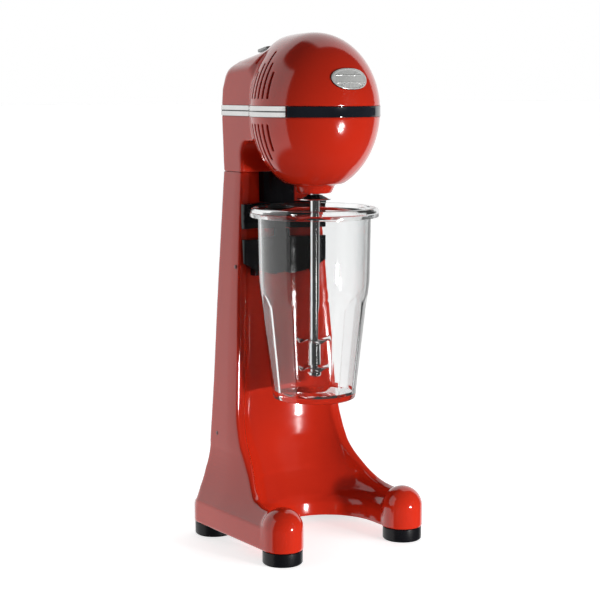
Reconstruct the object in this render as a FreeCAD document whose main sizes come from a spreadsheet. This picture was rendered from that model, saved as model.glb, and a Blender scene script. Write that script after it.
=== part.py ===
import FreeCAD, Part
import math
import os
import re
import Sketcher

# Single-spindle bar drink mixer. Millimetres, +Z up, +Y to the back, the origin at the centre
# of the footprint on the bench. The spindle, the motor and the cup share one vertical axis.

VECTOR = FreeCAD.Vector
X_DIRECTION = VECTOR(1, 0, 0)
Y_DIRECTION = VECTOR(0, 1, 0)
Z_DIRECTION = VECTOR(0, 0, 1)

document = FreeCAD.newDocument("milkshake_mixer")

# ---------------------------------------------------------------- driving dimensions

DIMENSIONS = [
    # stand
    ("foot_x", 69.3),
    ("foot_y", 59.3),
    ("foot_radius", 18.5),
    ("foot_height", 13),
    ("toe_radius", 19.2),
    ("toe_top", 51.5),
    ("wall", 3),
    ("crease_z", 35),
    ("leg_top", 48),
    ("flare_z", 94),
    ("flare_half", 63.4),
    ("column_top", 350),
    ("column_half", 46),
    ("column_back", 77),
    ("lip_y", 43.5),
    ("lip_bend_z", 135),
    ("lip_bend_y", 30),
    ("crest_z", 28),
    ("arch_back", 16),
    ("lip_thick", 8.5),
    ("plate_thick", 2.5),
    # spindle axis and head
    ("axis_y", -11),
    ("band_z", 408),
    ("ball_radius", 61),
    ("ball_up", 72),
    ("ball_down", 75),
    ("ball_rear", 37.4),
    ("box_half", 48.2),
    ("nose_bottom", 332),
    ("nose_radius", 16),
    ("band_height", 10),
    ("band_proud", 0.5),
    ("band_depth", 1.2),
    ("band_black_angle", 60),
    # cup and its holder
    ("cup_bottom", 137.5),
    ("cup_bottom_radius", 39.3),
    ("cup_shoulder", 250),
    ("cup_shoulder_radius", 52),
    ("cup_top_radius", 53),
    ("cup_wall", 2.2),
    ("cup_floor", 4),
    ("rim_radius", 60.5),
    ("rim_bottom", 310),
    ("rim_top", 319),
    ("holder_half", 47.9),
    ("holder_front", 35),
    ("bracket_low", 297),
    ("bracket_top", 320),
    ("cradle_low", 264.5),
    ("cradle_top", 286.5),
    ("lever_half", 7.5),
    ("pivot_y", 51),
    ("pivot_z", 338),
    # spindle and motor
    ("spindle_radius", 4.5),
    ("spindle_bottom", 163),
    ("spindle_top", 343),
    ("splash_z", 328),
    ("splash_radius", 16.5),
    ("agitator_z_low", 166),
    ("agitator_z_high", 193),
    ("agitator_radius_low", 15.5),
    ("agitator_radius_high", 17),
    ("shaft_radius", 3),
    ("shaft_top", 457),
    ("core_low", 386),
    ("core_high", 424),
    ("stator_radius", 44),
    ("pole_radius", 22),
    ("armature_radius", 21.4),
    ("bearing_radius", 9.5),
    ("screw_radius", 2),
    ("screw_head_radius", 3.8),
]

sheet = document.addObject("Spreadsheet::Sheet", "sizes")
for row, (alias, value) in enumerate(DIMENSIONS, 1):
    sheet.set("A%d" % row, alias)
    sheet.set("B%d" % row, str(value))
    sheet.setAlias("B%d" % row, alias)
document.recompute()
ALIAS_WORDS = re.compile(r"\b(%s)\b" % "|".join(alias for alias, value in DIMENSIONS))


def bound(expression):
    """An expression whose plain names are the sheet's aliases."""
    return ALIAS_WORDS.sub(r"sizes.\1", str(expression))


def size(expression):
    """The present value of such an expression, for shapes that are computed here."""
    return float(sheet.evalExpression(bound(expression)))


# ---------------------------------------------------------------- ways of making a piece

subparts = []


def keep(piece, label):
    """Marks an object as a sub-part: its label is its node's name."""
    piece.Label = label
    subparts.append(piece)
    return piece


def primitive(kind, name, at=(0, 0, 0), turn=None, **sizes_by_property):
    piece = document.addObject("Part::" + kind, name)
    if turn is not None:
        piece.Placement = FreeCAD.Placement(VECTOR(), FreeCAD.Rotation(*turn))
    for name_of_size, expression in sizes_by_property.items():
        piece.setExpression(name_of_size, bound(expression))
    for letter, expression in zip("xyz", at):
        piece.setExpression("Placement.Base." + letter, bound(expression))
    return piece


def rod(name, radius, low, high, x=0, y="axis_y"):
    """An upright cylinder between two heights."""
    return primitive("Cylinder", name, (x, y, low), Radius=radius, Height="(%s) - (%s)" % (high, low))


def block(name, half_x, front, back, low, high, x=0):
    """A box centred on x."""
    return primitive("Box", name, ("(%s) - (%s)" % (x, half_x), front, low), Length="2 * (%s)" % half_x,
                     Width="(%s) - (%s)" % (back, front), Height="(%s) - (%s)" % (high, low))


def cut(name, base, *tools):
    for number, tool in enumerate(tools):
        piece = document.addObject("Part::Cut", "%s_cut%d" % (name, number))
        piece.Base = base
        piece.Tool = tool
        base = piece
    return base


def fuse(name, *pieces):
    piece = document.addObject("Part::MultiFuse", name + "_fuse")
    piece.Shapes = list(pieces)
    return piece


def common(name, *pieces):
    piece = document.addObject("Part::MultiCommon", name + "_common")
    piece.Shapes = list(pieces)
    return piece


def group(name, pieces):
    piece = document.addObject("Part::Compound", name + "_group")
    piece.Links = list(pieces)
    return piece


def shaped(name, shape):
    piece = document.addObject("Part::Feature", name)
    piece.Shape = shape
    return piece


def origin_plane(body, role):
    return next(plane for plane in body.Origin.OriginFeatures if plane.Role == role)


def outline(sketch, corners):
    """A closed outline of straight lines, each corner bound to its two expressions."""
    points = [VECTOR(size(across), size(up), 0) for across, up in corners]
    count = len(points)
    for number, point in enumerate(points):
        sketch.addGeometry(Part.LineSegment(point, points[(number + 1) % count]), False)
    for number in range(count):
        sketch.addConstraint(Sketcher.Constraint("Coincident", number, 2, (number + 1) % count, 1))
    for number, corner in enumerate(corners):
        for kind, expression in zip(("DistanceX", "DistanceY"), corner):
            place = sketch.addConstraint(
                Sketcher.Constraint(kind, -1, 1, number, 1, size(expression)))
            sketch.setExpression("Constraints[%d]" % place, bound(expression))


def sketched_body(name, role, corners):
    body = document.addObject("PartDesign::Body", name + "_body")
    sketch = body.newObject("Sketcher::SketchObject", name + "_sketch")
    sketch.AttachmentSupport = [(origin_plane(body, role), "")]
    sketch.MapMode = "FlatFace"
    outline(sketch, corners)
    return body, sketch


def turned(name, corners, x=0, y="axis_y"):
    """A body of revolution about an upright axis, from corners of (radius, height)."""
    body, sketch = sketched_body(name, "XZ_Plane", corners)
    feature = body.newObject("PartDesign::Revolution", name + "_turn")
    feature.Profile = sketch
    feature.ReferenceAxis = (sketch, ["V_Axis"])
    feature.Angle = 360
    body.setExpression("Placement.Base.x", bound(x))
    body.setExpression("Placement.Base.y", bound(y))
    return body


def prism(edges, direction):
    """A solid pushed from a closed wire of edges."""
    return Part.Face(Part.Wire(edges)).extrude(direction)


def lines(points):
    return [Part.makeLine(start, end) for start, end in zip(points, points[1:])]


def through(points, first_tangent, last_tangent):
    """One smooth edge through points, with its end directions given."""
    curve = Part.BSplineCurve()
    curve.interpolate(points, InitialTangent=first_tangent, FinalTangent=last_tangent)
    return curve.toShape()


# ---------------------------------------------------------------- stand

FAR = 200
BACK_ROUND = 9


def stand_front_form(inset, low, high):
    """The stand seen from the front: a tapering column that flares out to the crease."""
    skirt = size("foot_x + toe_radius") - inset
    crease = size("crease_z")
    foot = size("foot_x + toe_radius - 2") - inset
    waist = size("flare_half") - inset
    top = size("column_half") - inset
    right = [VECTOR(skirt, -FAR, low), VECTOR(skirt, -FAR, crease - 1), VECTOR(foot, -FAR, crease + 1)]
    waist_point = VECTOR(waist, -FAR, size("flare_z"))
    middle = VECTOR(0.62 * waist + 0.38 * foot - 1.5, -FAR, 0.4 * size("flare_z") + 0.6 * crease)
    half = lines(right)
    half.append(Part.Arc(right[-1], middle, waist_point).toShape())
    half += lines([waist_point, VECTOR(top, -FAR, high), VECTOR(0, -FAR, high)])
    half += lines([VECTOR(0, -FAR, low), right[0]])
    right_side = prism(Part.__sortEdges__(half + lines([VECTOR(0, -FAR, high), VECTOR(0, -FAR, low)])),
                       VECTOR(0, 2 * FAR, 0))
    left_side = right_side.mirror(VECTOR(), X_DIRECTION)
    return right_side.fuse(left_side).removeSplitter()


def stand_side_form(inset, low, high):
    """The stand seen from the side: an upright back, and a lip that sweeps down into the legs."""
    back = size("column_back") - inset
    skirt_back = size("foot_y + toe_radius") - inset
    crease = size("crease_z")
    reach = size("lip_bend_y + 38") + inset
    drop = size("lip_bend_z - leg_top") + inset
    sweep = []
    for step in range(7):
        angle = math.radians(15 * step)
        sweep.append(VECTOR(-FAR, reach * math.cos(angle) - 38,
                            size("lip_bend_z") - drop * math.sin(angle)))
    edges = lines([VECTOR(-FAR, skirt_back, low), VECTOR(-FAR, skirt_back, crease - 1),
                   VECTOR(-FAR, back, crease + 1), VECTOR(-FAR, back, high),
                   VECTOR(-FAR, size("lip_y") + inset, high), sweep[0]])
    edges.append(through(sweep, -Z_DIRECTION, -Y_DIRECTION))
    toe = -size("foot_y")
    edges += lines([sweep[-1], VECTOR(-FAR, toe, sweep[-1].z), VECTOR(-FAR, toe, low),
                    VECTOR(-FAR, skirt_back, low)])
    return prism(edges, VECTOR(2 * FAR, 0, 0))


def stand_plan_form(inset, low, high):
    """The footprint: a rectangle with rounded rear corners."""
    half = size("foot_x + toe_radius") - inset
    back = size("foot_y + toe_radius") - inset
    box = Part.makeBox(2 * half, 2 * back, high - low, VECTOR(-half, -back, low))
    upright = [edge for edge in box.Edges if edge.BoundBox.ZLength > 1 and edge.BoundBox.YMin > 0]
    return box.makeFillet(size("toe_radius") - inset, upright)


LEVEL_STATIONS = (398, 350, 302, 254, 206, 168)
# the lip's and the hollow floor's (y, z) in each tilted section, from the column down to the toes
TILTED_STATIONS = (
    ((29.7, 133), (49.7, 126)), ((27.2, 110), (47.4, 98)), ((20.9, 91.5), (42.9, 76)),
    ((10.1, 73.5), (35.3, 55)), ((-4, 59.7), (24.5, 37.5)), ((-20.4, 51), (4, 23.5)),
    ((-38, 48), (-28, 18.2)), ((-60, 48), (-58, 17)), ((-84, 48), (-86, 17)),
)


def side_half(height):
    """Half the stand's width above the crease, close to its front outline."""
    waist = size("flare_half")
    if height > size("flare_z"):
        share = (height - size("flare_z")) / size("column_top - flare_z")
        return waist + share * size("column_half - flare_half")
    return waist + 0.0062 * (size("flare_z") - height) ** 2


def apron_back(height):
    """How far back the hollow front of the column lies at a height."""
    rise = height - size("crest_z")
    return 50.2 + 0.022 * rise - 34.2 * math.exp(-rise / 34)


def lip_front(height):
    """How far back the lip lies at a height on the column."""
    share = (height - size("lip_bend_z")) / size("column_top - lip_bend_z")
    return size("lip_bend_y") + share * size("lip_y - lip_bend_y")


def hollow_section(lip, floor, inset):
    """Half an ellipse across the stand, as wide as the lips allow and as deep as the floor."""
    down = VECTOR(0, floor[0] - lip[0], floor[1] - lip[1])
    depth = down.Length + inset
    down.normalize()
    centre = VECTOR(0, lip[0], lip[1])
    half = side_half(lip[1]) - size("lip_thick") + inset
    bow = []
    for step in range(9):
        angle = math.pi * step / 8
        bow.append(centre + VECTOR(-half * math.cos(angle), 0, 0) + down * (depth * math.sin(angle)))
    out = down * -22
    edges = [through(bow, down, down * -1)]
    edges += lines([bow[-1], bow[-1] + out, bow[0] + out, bow[0]])
    return Part.Wire(edges)


def channel_form(inset):
    """The hollow front: a trough down the column that turns forward between the legs."""
    stations = [((lip_front(height), height), (apron_back(height), height)) for height in LEVEL_STATIONS]
    stations += TILTED_STATIONS
    return Part.makeLoft([hollow_section(lip, floor, inset) for lip, floor in stations], True, False)


def arch_form(inset):
    """The upright arch between the legs, round at the back."""
    radius = size("foot_x - toe_radius") + inset
    depth = size("arch_back") + inset - radius
    top = size("leg_top") + 15
    post = Part.makeCylinder(radius, top, VECTOR(0, depth, 0))
    return post.fuse(Part.makeBox(2 * radius, FAR, top, VECTOR(-radius, depth - FAR, 0))).removeSplitter()


def toe_form(side, inset, low):
    """A round toe over a front foot: a short post with a domed top."""
    radius = size("toe_radius") - inset
    centre = VECTOR(side * size("foot_x"), -size("foot_y"), size("toe_top - toe_radius"))
    post = Part.makeCylinder(radius, centre.z - low, VECTOR(centre.x, centre.y, low))
    return post.fuse(Part.makeSphere(radius, centre)).removeSplitter()


def corner_cutter(side, inset, high):
    """Rounds a rear corner of the column, less and less towards the flare."""
    sections = []
    for height, half, round_radius in ((size("flare_z"), size("flare_half"), 1.5),
                                       (high, size("column_half"), BACK_ROUND)):
        half = half - inset
        back = size("column_back") - inset
        inner = VECTOR(side * (half - round_radius), back, height)
        outer = VECTOR(side * half, back - round_radius, height)
        bend = round_radius * (1 - math.sqrt(0.5))
        middle = VECTOR(side * (half - bend), back - bend, height)
        far_corner = VECTOR(side * (half + 3), back + 3, height)
        edges = [Part.Arc(inner, middle, outer).toShape()]
        edges += lines([outer, VECTOR(side * (half + 3), back - round_radius, height), far_corner,
                        VECTOR(side * (half - round_radius), back + 3, height), inner])
        sections.append(Part.Wire(edges))
    return Part.makeLoft(sections, True, True)


def stand_form(inset, low, high, lip_fillet):
    body = stand_front_form(inset, low, high)
    body = body.common(stand_side_form(inset, low, high))
    body = body.common(stand_plan_form(inset, low, high + 1))
    body = body.cut(channel_form(inset)).cut(arch_form(inset))
    for side in (-1, 1):
        body = body.cut(corner_cutter(side, inset, high))
    if lip_fillet:
        lips = []
        for edge in body.Edges:
            box = edge.BoundBox
            middle = edge.valueAt((edge.FirstParameter + edge.LastParameter) / 2)
            level = box.YLength < 1 and box.XLength > 20
            if box.DiagonalLength > 20 and box.ZMin > size("leg_top") - 8 and box.ZMin < high - 1 \
                    and middle.y < 46 and abs(middle.x) > 30 and not level:
                lips.append(edge)
        body = body.makeFillet(lip_fillet, lips)
    for side in (-1, 1):
        body = body.fuse(toe_form(side, inset, low))
    return body


def upright_rod(radius, low, high, x=0, y=0):
    return Part.makeCylinder(radius, high - low, VECTOR(x, y, low))


def wide_block(half_x, front, back, low, high):
    return Part.makeBox(2 * half_x, back - front, high - low, VECTOR(-half_x, front, low))


FOOT_PLACES = [(-1, -1), (1, -1), (-1, 1), (1, 1)]
PLATE_LOW = 14
COVER_LOW, COVER_HIGH = 64, 334
COVER_HALF = 36
GLAND_Z = 26
COVER_SCREWS = [(-30, 72), (30, 72), (-30, 326), (30, 326)]
DECK_SCREWS = [(-34, 66), (34, 66)]
PLUG_PLACES = [(62.9, 97.2), (45.6, 260.4)]
BUTTON_Z = 322

wall = size("wall")
foot_height = size("foot_height")
column_top = size("column_top")
column_back = size("column_back")
stand_outer = stand_form(0, foot_height, column_top, 3.5)


def make_stand_shell():
    """One moulding: column, two legs and toes, with posts for the foot screws inside."""
    shell = stand_outer.cut(stand_form(wall, 1, column_top - wall, 0))
    plate_top = PLATE_LOW + size("plate_thick")
    for side, end in FOOT_PLACES:
        x, y = side * size("foot_x"), end * size("foot_y")
        post = upright_rod(7, plate_top, size("toe_top"), x, y).common(stand_outer)
        shell = shell.fuse(post).cut(upright_rod(size("screw_radius"), plate_top - 1, 36, x, y))
    shell = shell.cut(wide_block(COVER_HALF, column_back - wall - 1, 90, COVER_LOW, COVER_HIGH))
    for x, z in COVER_SCREWS:
        lug = Part.makeBox(14, 6, 14, VECTOR(x - 7, column_back - 3 - 6, z - 7))
        shell = shell.fuse(lug)
        hole = Part.makeCylinder(size("screw_radius"), 12, VECTOR(x, column_back - 12, z), Y_DIRECTION)
        shell = shell.cut(hole)
    for x, y in DECK_SCREWS:
        shell = shell.cut(upright_rod(size("screw_radius"), 340, 360, x, y))
    shell = shell.cut(upright_rod(9, 340, 360, 0, 67))
    shell = shell.cut(Part.makeCylinder(8, 20, VECTOR(-52, 65, GLAND_Z), Y_DIRECTION))
    flange_seat = size("foot_y + toe_radius - 1.5")
    shell = shell.cut(Part.makeCylinder(11.1, 20, VECTOR(-52, flange_seat, GLAND_Z), Y_DIRECTION))
    for side in (-1, 1):
        for y, z in PLUG_PLACES:
            shell = shell.cut(Part.makeCylinder(2.5, 100, VECTOR(side * 20, y, z), VECTOR(side, 0, 0)))
    return shell.cut(Part.makeCylinder(2.2, 12, VECTOR(0, 50, BUTTON_Z), Y_DIRECTION))


keep(shaped("stand_shell", make_stand_shell()), "stand_shell")


def make_base_plate():
    """The steel plate that closes the underside, cut to the same footprint."""
    gap = wall + 0.2
    top = PLATE_LOW + size("plate_thick")
    plate = stand_plan_form(gap, PLATE_LOW, top).cut(arch_form(gap))
    plate = plate.cut(wide_block(FAR, -FAR, -size("foot_y"), 0, 60))
    for side in (-1, 1):
        toe = upright_rod(size("toe_radius") - gap, PLATE_LOW, top, side * size("foot_x"), -size("foot_y"))
        plate = plate.fuse(toe)
    for side, end in FOOT_PLACES:
        hole = upright_rod(size("screw_radius"), 0, 40, side * size("foot_x"), end * size("foot_y"))
        plate = plate.cut(hole)
    return plate.removeSplitter()


keep(shaped("base_plate", make_base_plate()), "base_plate")

foot_profile = [("screw_head_radius + 0.4", 0), ("foot_radius - 1", 0), ("foot_radius", 1.5),
                ("foot_radius", "foot_height - 1"), ("foot_radius - 1", "foot_height"),
                ("foot_radius - 4", "foot_height"), ("foot_radius - 4", PLATE_LOW),
                ("screw_radius", PLATE_LOW), ("screw_radius", 6), ("screw_head_radius + 0.4", 6)]
foot_screws = []
for side, end in FOOT_PLACES:
    side_name = "left" if side < 0 else "right"
    end_name = "front" if end < 0 else "rear"
    name = "foot_%s_%s" % (end_name, side_name)
    x, y = "%d * foot_x" % side, "%d * foot_y" % end
    keep(turned(name, foot_profile, x, y), name)
    head = rod(name + "_head", "screw_head_radius", 3.4, 6, x, y)
    shank = rod(name + "_shank", "screw_radius", 6, 34, x, y)
    foot_screws.append(fuse(name + "_screw", head, shank))
keep(group("foot_screws", foot_screws), "foot_screws")

cover_panel = block("cover_panel", COVER_HALF - 0.3, "column_back - 3", "column_back",
                    COVER_LOW + 0.3, COVER_HIGH - 0.3)
cover_holes = []
cover_screws = []
for number, (x, z) in enumerate(COVER_SCREWS):
    lying = (X_DIRECTION, -90)
    cover_holes.append(primitive("Cylinder", "cover_hole%d" % number, (x, "column_back - 6", z), lying,
                                 Radius="screw_radius", Height=10))
    head = primitive("Cylinder", "cover_head%d" % number, (x, "column_back", z), lying,
                     Radius="screw_head_radius", Height=1.2)
    shank = primitive("Cylinder", "cover_shank%d" % number, (x, "column_back - 8", z), lying,
                      Radius="screw_radius", Height=8)
    cover_screws.append(fuse("cover_screw%d" % number, head, shank))
keep(cut("rear_cover", cover_panel, *cover_holes), "rear_cover")
keep(group("cover_screws", cover_screws), "cover_screws")


def make_plugs():
    """Small round plugs that close the screw holes in the column's sides."""
    plugs = []
    for side in (-1, 1):
        for y, z in PLUG_PLACES:
            plug = Part.makeCylinder(2.5, 100, VECTOR(side * 20, y, z), VECTOR(side, 0, 0))
            sunk = 0.4
            band = stand_front_form(sunk, foot_height, column_top)
            band = band.cut(stand_front_form(sunk + 2, foot_height - 1, column_top + 1))
            plugs.append(plug.common(band))
    return Part.makeCompound(plugs)


keep(shaped("side_plugs", make_plugs()), "side_plugs")

gland_profile = [(2.6, 0), (11, 0), (11, 1.4), (8, 1.4), (8, 9), (2.6, 9)]
gland = turned("cord_gland", [("%s" % r, "%s" % z) for r, z in gland_profile], 0, 0)
gland.Placement = FreeCAD.Placement(VECTOR(), FreeCAD.Rotation(X_DIRECTION, 90))
for letter, value in zip("xyz", (-52, "foot_y + toe_radius - 0.1", GLAND_Z)):
    gland.setExpression("Placement.Base." + letter, bound(value))
keep(gland, "cord_gland")

keep(block("terminal_block", 14, 58, 70, 16.5, 30, -20), "terminal_block")

# ---------------------------------------------------------------- head

axis_y = size("axis_y")
band_z = size("band_z")
rear_y = axis_y + size("ball_rear")


def ellipse_edge(width, height, first, last, y=None):
    """Part of an upright ellipse on the ball's centre line, between two angles above the horizontal."""
    centre = VECTOR(0, axis_y if y is None else y, band_z)
    ellipse = Part.Ellipse(centre + VECTOR(0, 0, height), centre + VECTOR(width, 0, 0), centre)
    low, high = sorted((math.radians(90 - first), math.radians(90 - last)))
    return Part.ArcOfEllipse(ellipse, low, high).toShape()


def on_ellipse(width, height, angle):
    angle = math.radians(angle)
    return VECTOR(width * math.cos(angle), axis_y, band_z + height * math.sin(angle))


def turned_about_axis(edges):
    return Part.Face(Part.Wire(edges)).revolve(VECTOR(0, axis_y, 0), Z_DIRECTION, 360)


def ball_lower(inset):
    """The lower half of the ball with its nose, cut off flat at the back."""
    radius = size("ball_radius") - inset
    drop = size("ball_down") - inset
    neck = size("nose_radius") + 5 - inset
    lowest = math.degrees(math.acos(neck / radius))
    bottom = size("nose_bottom") + inset
    centre = VECTOR(0, axis_y, band_z)
    curve_end = on_ellipse(radius, drop, -lowest)
    edges = [Part.makeLine(centre, on_ellipse(radius, drop, 0)), ellipse_edge(radius, drop, 0, -lowest)]
    edges += lines([curve_end, VECTOR(size("nose_radius") - inset, axis_y, bottom),
                    VECTOR(0, axis_y, bottom), centre])
    solid = turned_about_axis(edges)
    return solid.cut(wide_block(FAR, rear_y - inset, FAR, 200, 500))


def ball_upper(inset):
    """The upper half: round in front of the axis, and nearly level behind it."""
    radius = size("ball_radius") - inset
    rise = size("ball_up") - inset
    centre = VECTOR(0, axis_y, band_z)
    top_point = VECTOR(0, axis_y, band_z + rise)
    edges = [Part.makeLine(centre, on_ellipse(radius, rise, 0)), ellipse_edge(radius, rise, 0, 90),
             Part.makeLine(top_point, centre)]
    front = Part.Face(Part.Wire(edges)).revolve(centre, -Z_DIRECTION, 180)
    step_back = size("ball_rear") / 4
    sections = []
    for back in (0, 0.2 * step_back, step_back, 2 * step_back, 3 * step_back, size("ball_rear") - inset):
        half = math.sqrt(radius ** 2 - back ** 2)
        top = rise * (1 - 0.028 * (back / size("ball_rear")) ** 2)
        y = axis_y + back
        ends = [VECTOR(-half, y, band_z), VECTOR(half, y, band_z)]
        sections.append(Part.Wire([ellipse_edge(half, top, 0, 90, y), ellipse_edge(half, top, 90, 180, y),
                                   Part.makeLine(*ends)]))
    rear = Part.makeLoft(sections, True, False)
    return front.fuse(rear)


def box_upper(inset):
    """The sloping box behind the ball, above the band."""
    back = column_back - inset
    half = size("box_half") - inset
    start = VECTOR(-half, rear_y - 6, band_z)
    arc = Part.Arc(VECTOR(-half, back, 434), VECTOR(-half, back - 5.5, 449 - inset * 0.8),
                   VECTOR(-half, back - 19, 457 - inset))
    edges = lines([start, VECTOR(-half, back, band_z), VECTOR(-half, back, 434)])
    edges.append(arc.toShape())
    edges += lines([VECTOR(-half, back - 19, 457 - inset), VECTOR(-half, rear_y - 6, 465 - inset), start])
    body = prism(edges, VECTOR(2 * half, 0, 0))
    rims = [edge for edge in body.Edges if edge.BoundBox.XLength < 0.1 and edge.BoundBox.ZMin > band_z + 5
            and edge.BoundBox.YLength > 3 or
            edge.BoundBox.XLength < 0.1 and edge.BoundBox.ZMin > band_z - 1
            and edge.BoundBox.YMin > back - 0.1]
    return body.makeFillet(BACK_ROUND - inset, rims)


def neck_lower(inset):
    """The neck between the ball and the column, arched over the gap behind the ball."""
    back = column_back - inset
    front = size("lip_y") + inset
    low = column_top + inset
    arc = Part.Arc(VECTOR(-FAR, front, 369), VECTOR(-FAR, front - 3, 376.4 + inset * 0.7),
                   VECTOR(-FAR, front - 10, 379.5 + inset))
    edges = lines([VECTOR(-FAR, rear_y - 6, band_z), VECTOR(-FAR, back, band_z), VECTOR(-FAR, back, low),
                   VECTOR(-FAR, front, low), VECTOR(-FAR, front, 369)])
    edges.append(arc.toShape())
    edges += lines([VECTOR(-FAR, front - 10, 379.5 + inset), VECTOR(-FAR, rear_y - 6, 379.5 + inset),
                    VECTOR(-FAR, rear_y - 6, band_z)])
    profile = prism(edges, VECTOR(2 * FAR, 0, 0))
    low_half = size("column_half") - inset
    top_half = size("box_half") - inset
    front_view = lines([VECTOR(-low_half, -FAR, column_top), VECTOR(low_half, -FAR, column_top),
                        VECTOR(top_half, -FAR, band_z), VECTOR(-top_half, -FAR, band_z),
                        VECTOR(-low_half, -FAR, column_top)])
    neck = profile.common(prism(front_view, VECTOR(0, 2 * FAR, 0)))
    corners = [edge for edge in neck.Edges if edge.BoundBox.ZLength > 40 and edge.BoundBox.YMin > back - 0.1]
    return neck.makeFillet(BACK_ROUND - inset, corners)


def band_form(offset, low, high):
    """The head's outline at the band, grown by an offset: a circle with a box behind it."""
    circle = upright_rod(size("ball_radius") + offset, low, high, 0, axis_y)
    circle = circle.cut(wide_block(FAR, rear_y + offset, FAR, low - 1, high + 1))
    half = size("box_half") + offset
    box = wide_block(half, rear_y - 10, column_back + offset, low, high)
    corners = [edge for edge in box.Edges
               if edge.BoundBox.ZLength > 1 and edge.BoundBox.YMin > column_back + offset - 1]
    return circle.fuse(box.makeFillet(BACK_ROUND + offset, corners)).removeSplitter()


BAND_LOW = band_z - size("band_height") / 2
BAND_HIGH = band_z + size("band_height") / 2
VENT_PITCH = 6.9
VENT_FIRST_Y = 7
VENT_REACH = [35.5, 43.5, 54, 43.5, 35.5]


def vents(direction):
    """Upright slots in both sides of the ball, longest in the middle."""
    slots = []
    for number, reach in enumerate(VENT_REACH):
        y = VENT_FIRST_Y - VENT_PITCH * number
        near = band_z + direction * 11.5
        far = band_z + direction * reach
        slots.append(wide_block(FAR, y - 0.9, y + 0.9, min(near, far), max(near, far)))
    return slots


groove = band_form(10, BAND_LOW, BAND_HIGH).cut(band_form(-size("band_depth"), BAND_LOW - 1, BAND_HIGH + 1))
POST_X = 40.5
SWITCH_Y = 50
SWITCH_Z = 460
SWITCH_SLOPE = -11.3


def make_head_upper():
    shell = ball_upper(0).fuse(box_upper(0))
    shell = shell.cut(ball_upper(wall)).cut(box_upper(wall)).cut(groove)
    for slot in vents(1):
        shell = shell.cut(slot)
    hole = wide_block(14, SWITCH_Y - 9, SWITCH_Y + 9, 440, 480)
    return shell.cut(hole).removeSplitter()


def make_head_lower():
    outer = ball_lower(0).fuse(neck_lower(0))
    shell = outer.cut(ball_lower(wall)).cut(neck_lower(wall)).cut(groove)
    for side in (-1, 1):
        post = upright_rod(5, 340, 362, side * POST_X, axis_y).common(ball_lower(0.5))
        shell = shell.fuse(post).cut(upright_rod(size("screw_radius"), 352, 363, side * POST_X, axis_y))
    for slot in vents(-1):
        shell = shell.cut(slot)
    shell = shell.cut(upright_rod(12, 320, 345, 0, axis_y))
    for x, y in DECK_SCREWS:
        shell = shell.cut(upright_rod(size("screw_radius"), 340, 370, x, y))
    return shell.cut(upright_rod(9, 340, 360, 0, 67))


keep(shaped("head_upper_shell", make_head_upper()), "head_upper_shell")
keep(shaped("head_lower_shell", make_head_lower()), "head_lower_shell")


def make_band(front):
    """The trim band: its front part is one piece and the rest, round the sides and back, another."""
    ring = band_form(size("band_proud"), BAND_LOW, BAND_HIGH)
    ring = ring.cut(band_form(-size("band_depth"), BAND_LOW - 1, BAND_HIGH + 1))
    angle = size("band_black_angle")
    wedge = Part.makeCylinder(FAR, 60, VECTOR(0, axis_y, BAND_LOW - 20), Z_DIRECTION, 2 * angle)
    wedge.rotate(VECTOR(0, axis_y, 0), Z_DIRECTION, -90 - angle)
    return ring.common(wedge) if front else ring.cut(wedge)


keep(shaped("trim_band_front", make_band(True)), "trim_band_front")
keep(shaped("trim_band_rear", make_band(False)), "trim_band_rear")

BADGE_Z = 437
BADGE_HALF = 19.5
BADGE_TALL = 9.5


def front_skin(low, high):
    """A thin layer over the front of the ball, between two offsets."""
    return ball_upper(-high).cut(ball_upper(-low))


def oval(half, tall):
    """A lozenge with rounded ends, pushed back to front through the badge's place."""
    points = [VECTOR(half * math.copysign(abs(math.cos(angle)) ** 0.8, math.cos(angle)), -FAR,
                     BADGE_Z + tall * math.sin(angle)) for angle in
              [math.radians(30 * step) for step in range(12)]]
    curve = Part.BSplineCurve()
    curve.interpolate(points, PeriodicFlag=True)
    return Part.Face(Part.Wire([curve.toShape()])).extrude(VECTOR(0, FAR + axis_y - 20, 0))


def make_badge():
    """A blank plate with a raised rim and a raised ribbon across its middle."""
    plate = oval(BADGE_HALF, BADGE_TALL).common(front_skin(0, 1))
    rim = oval(BADGE_HALF, BADGE_TALL).cut(oval(BADGE_HALF - 1.6, BADGE_TALL - 1.6))
    ribbon = oval(BADGE_HALF + 1, BADGE_TALL).common(wide_block(30, -100, -40, BADGE_Z - 3.4, BADGE_Z + 3.4))
    return plate.fuse(rim.fuse(ribbon).common(front_skin(0, 2)))


def make_badge_field():
    """The dark fields above and below the ribbon."""
    field = oval(BADGE_HALF - 1.6, BADGE_TALL - 1.6).common(front_skin(1, 1.6))
    field = field.cut(wide_block(30, -100, -40, BADGE_Z - 3.4, BADGE_Z + 3.4))
    return field


keep(shaped("badge_plate", make_badge()), "badge_plate")
keep(shaped("badge_field", make_badge_field()), "badge_field")


def on_switch_slope(shape):
    """Turns a shape made level at the switch's place to lie on the sloping top."""
    shape.rotate(VECTOR(0, SWITCH_Y, SWITCH_Z), X_DIRECTION, SWITCH_SLOPE)
    return shape


def make_switch_bezel():
    low = SWITCH_Z - 1.2
    plate = wide_block(20, SWITCH_Y - 12, SWITCH_Y + 12, SWITCH_Z + 0.4, SWITCH_Z + 1.6)
    well = wide_block(13.2, SWITCH_Y - 8.2, SWITCH_Y + 8.2, low - 10, SWITCH_Z + 0.4)
    opening = wide_block(11, SWITCH_Y - 6, SWITCH_Y + 6, low - 8, SWITCH_Z + 3)
    bore = Part.makeCylinder(1.55, 30, VECTOR(-15, SWITCH_Y, SWITCH_Z - 3), X_DIRECTION)
    return on_switch_slope(plate.fuse(well).cut(opening).cut(bore))


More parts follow.
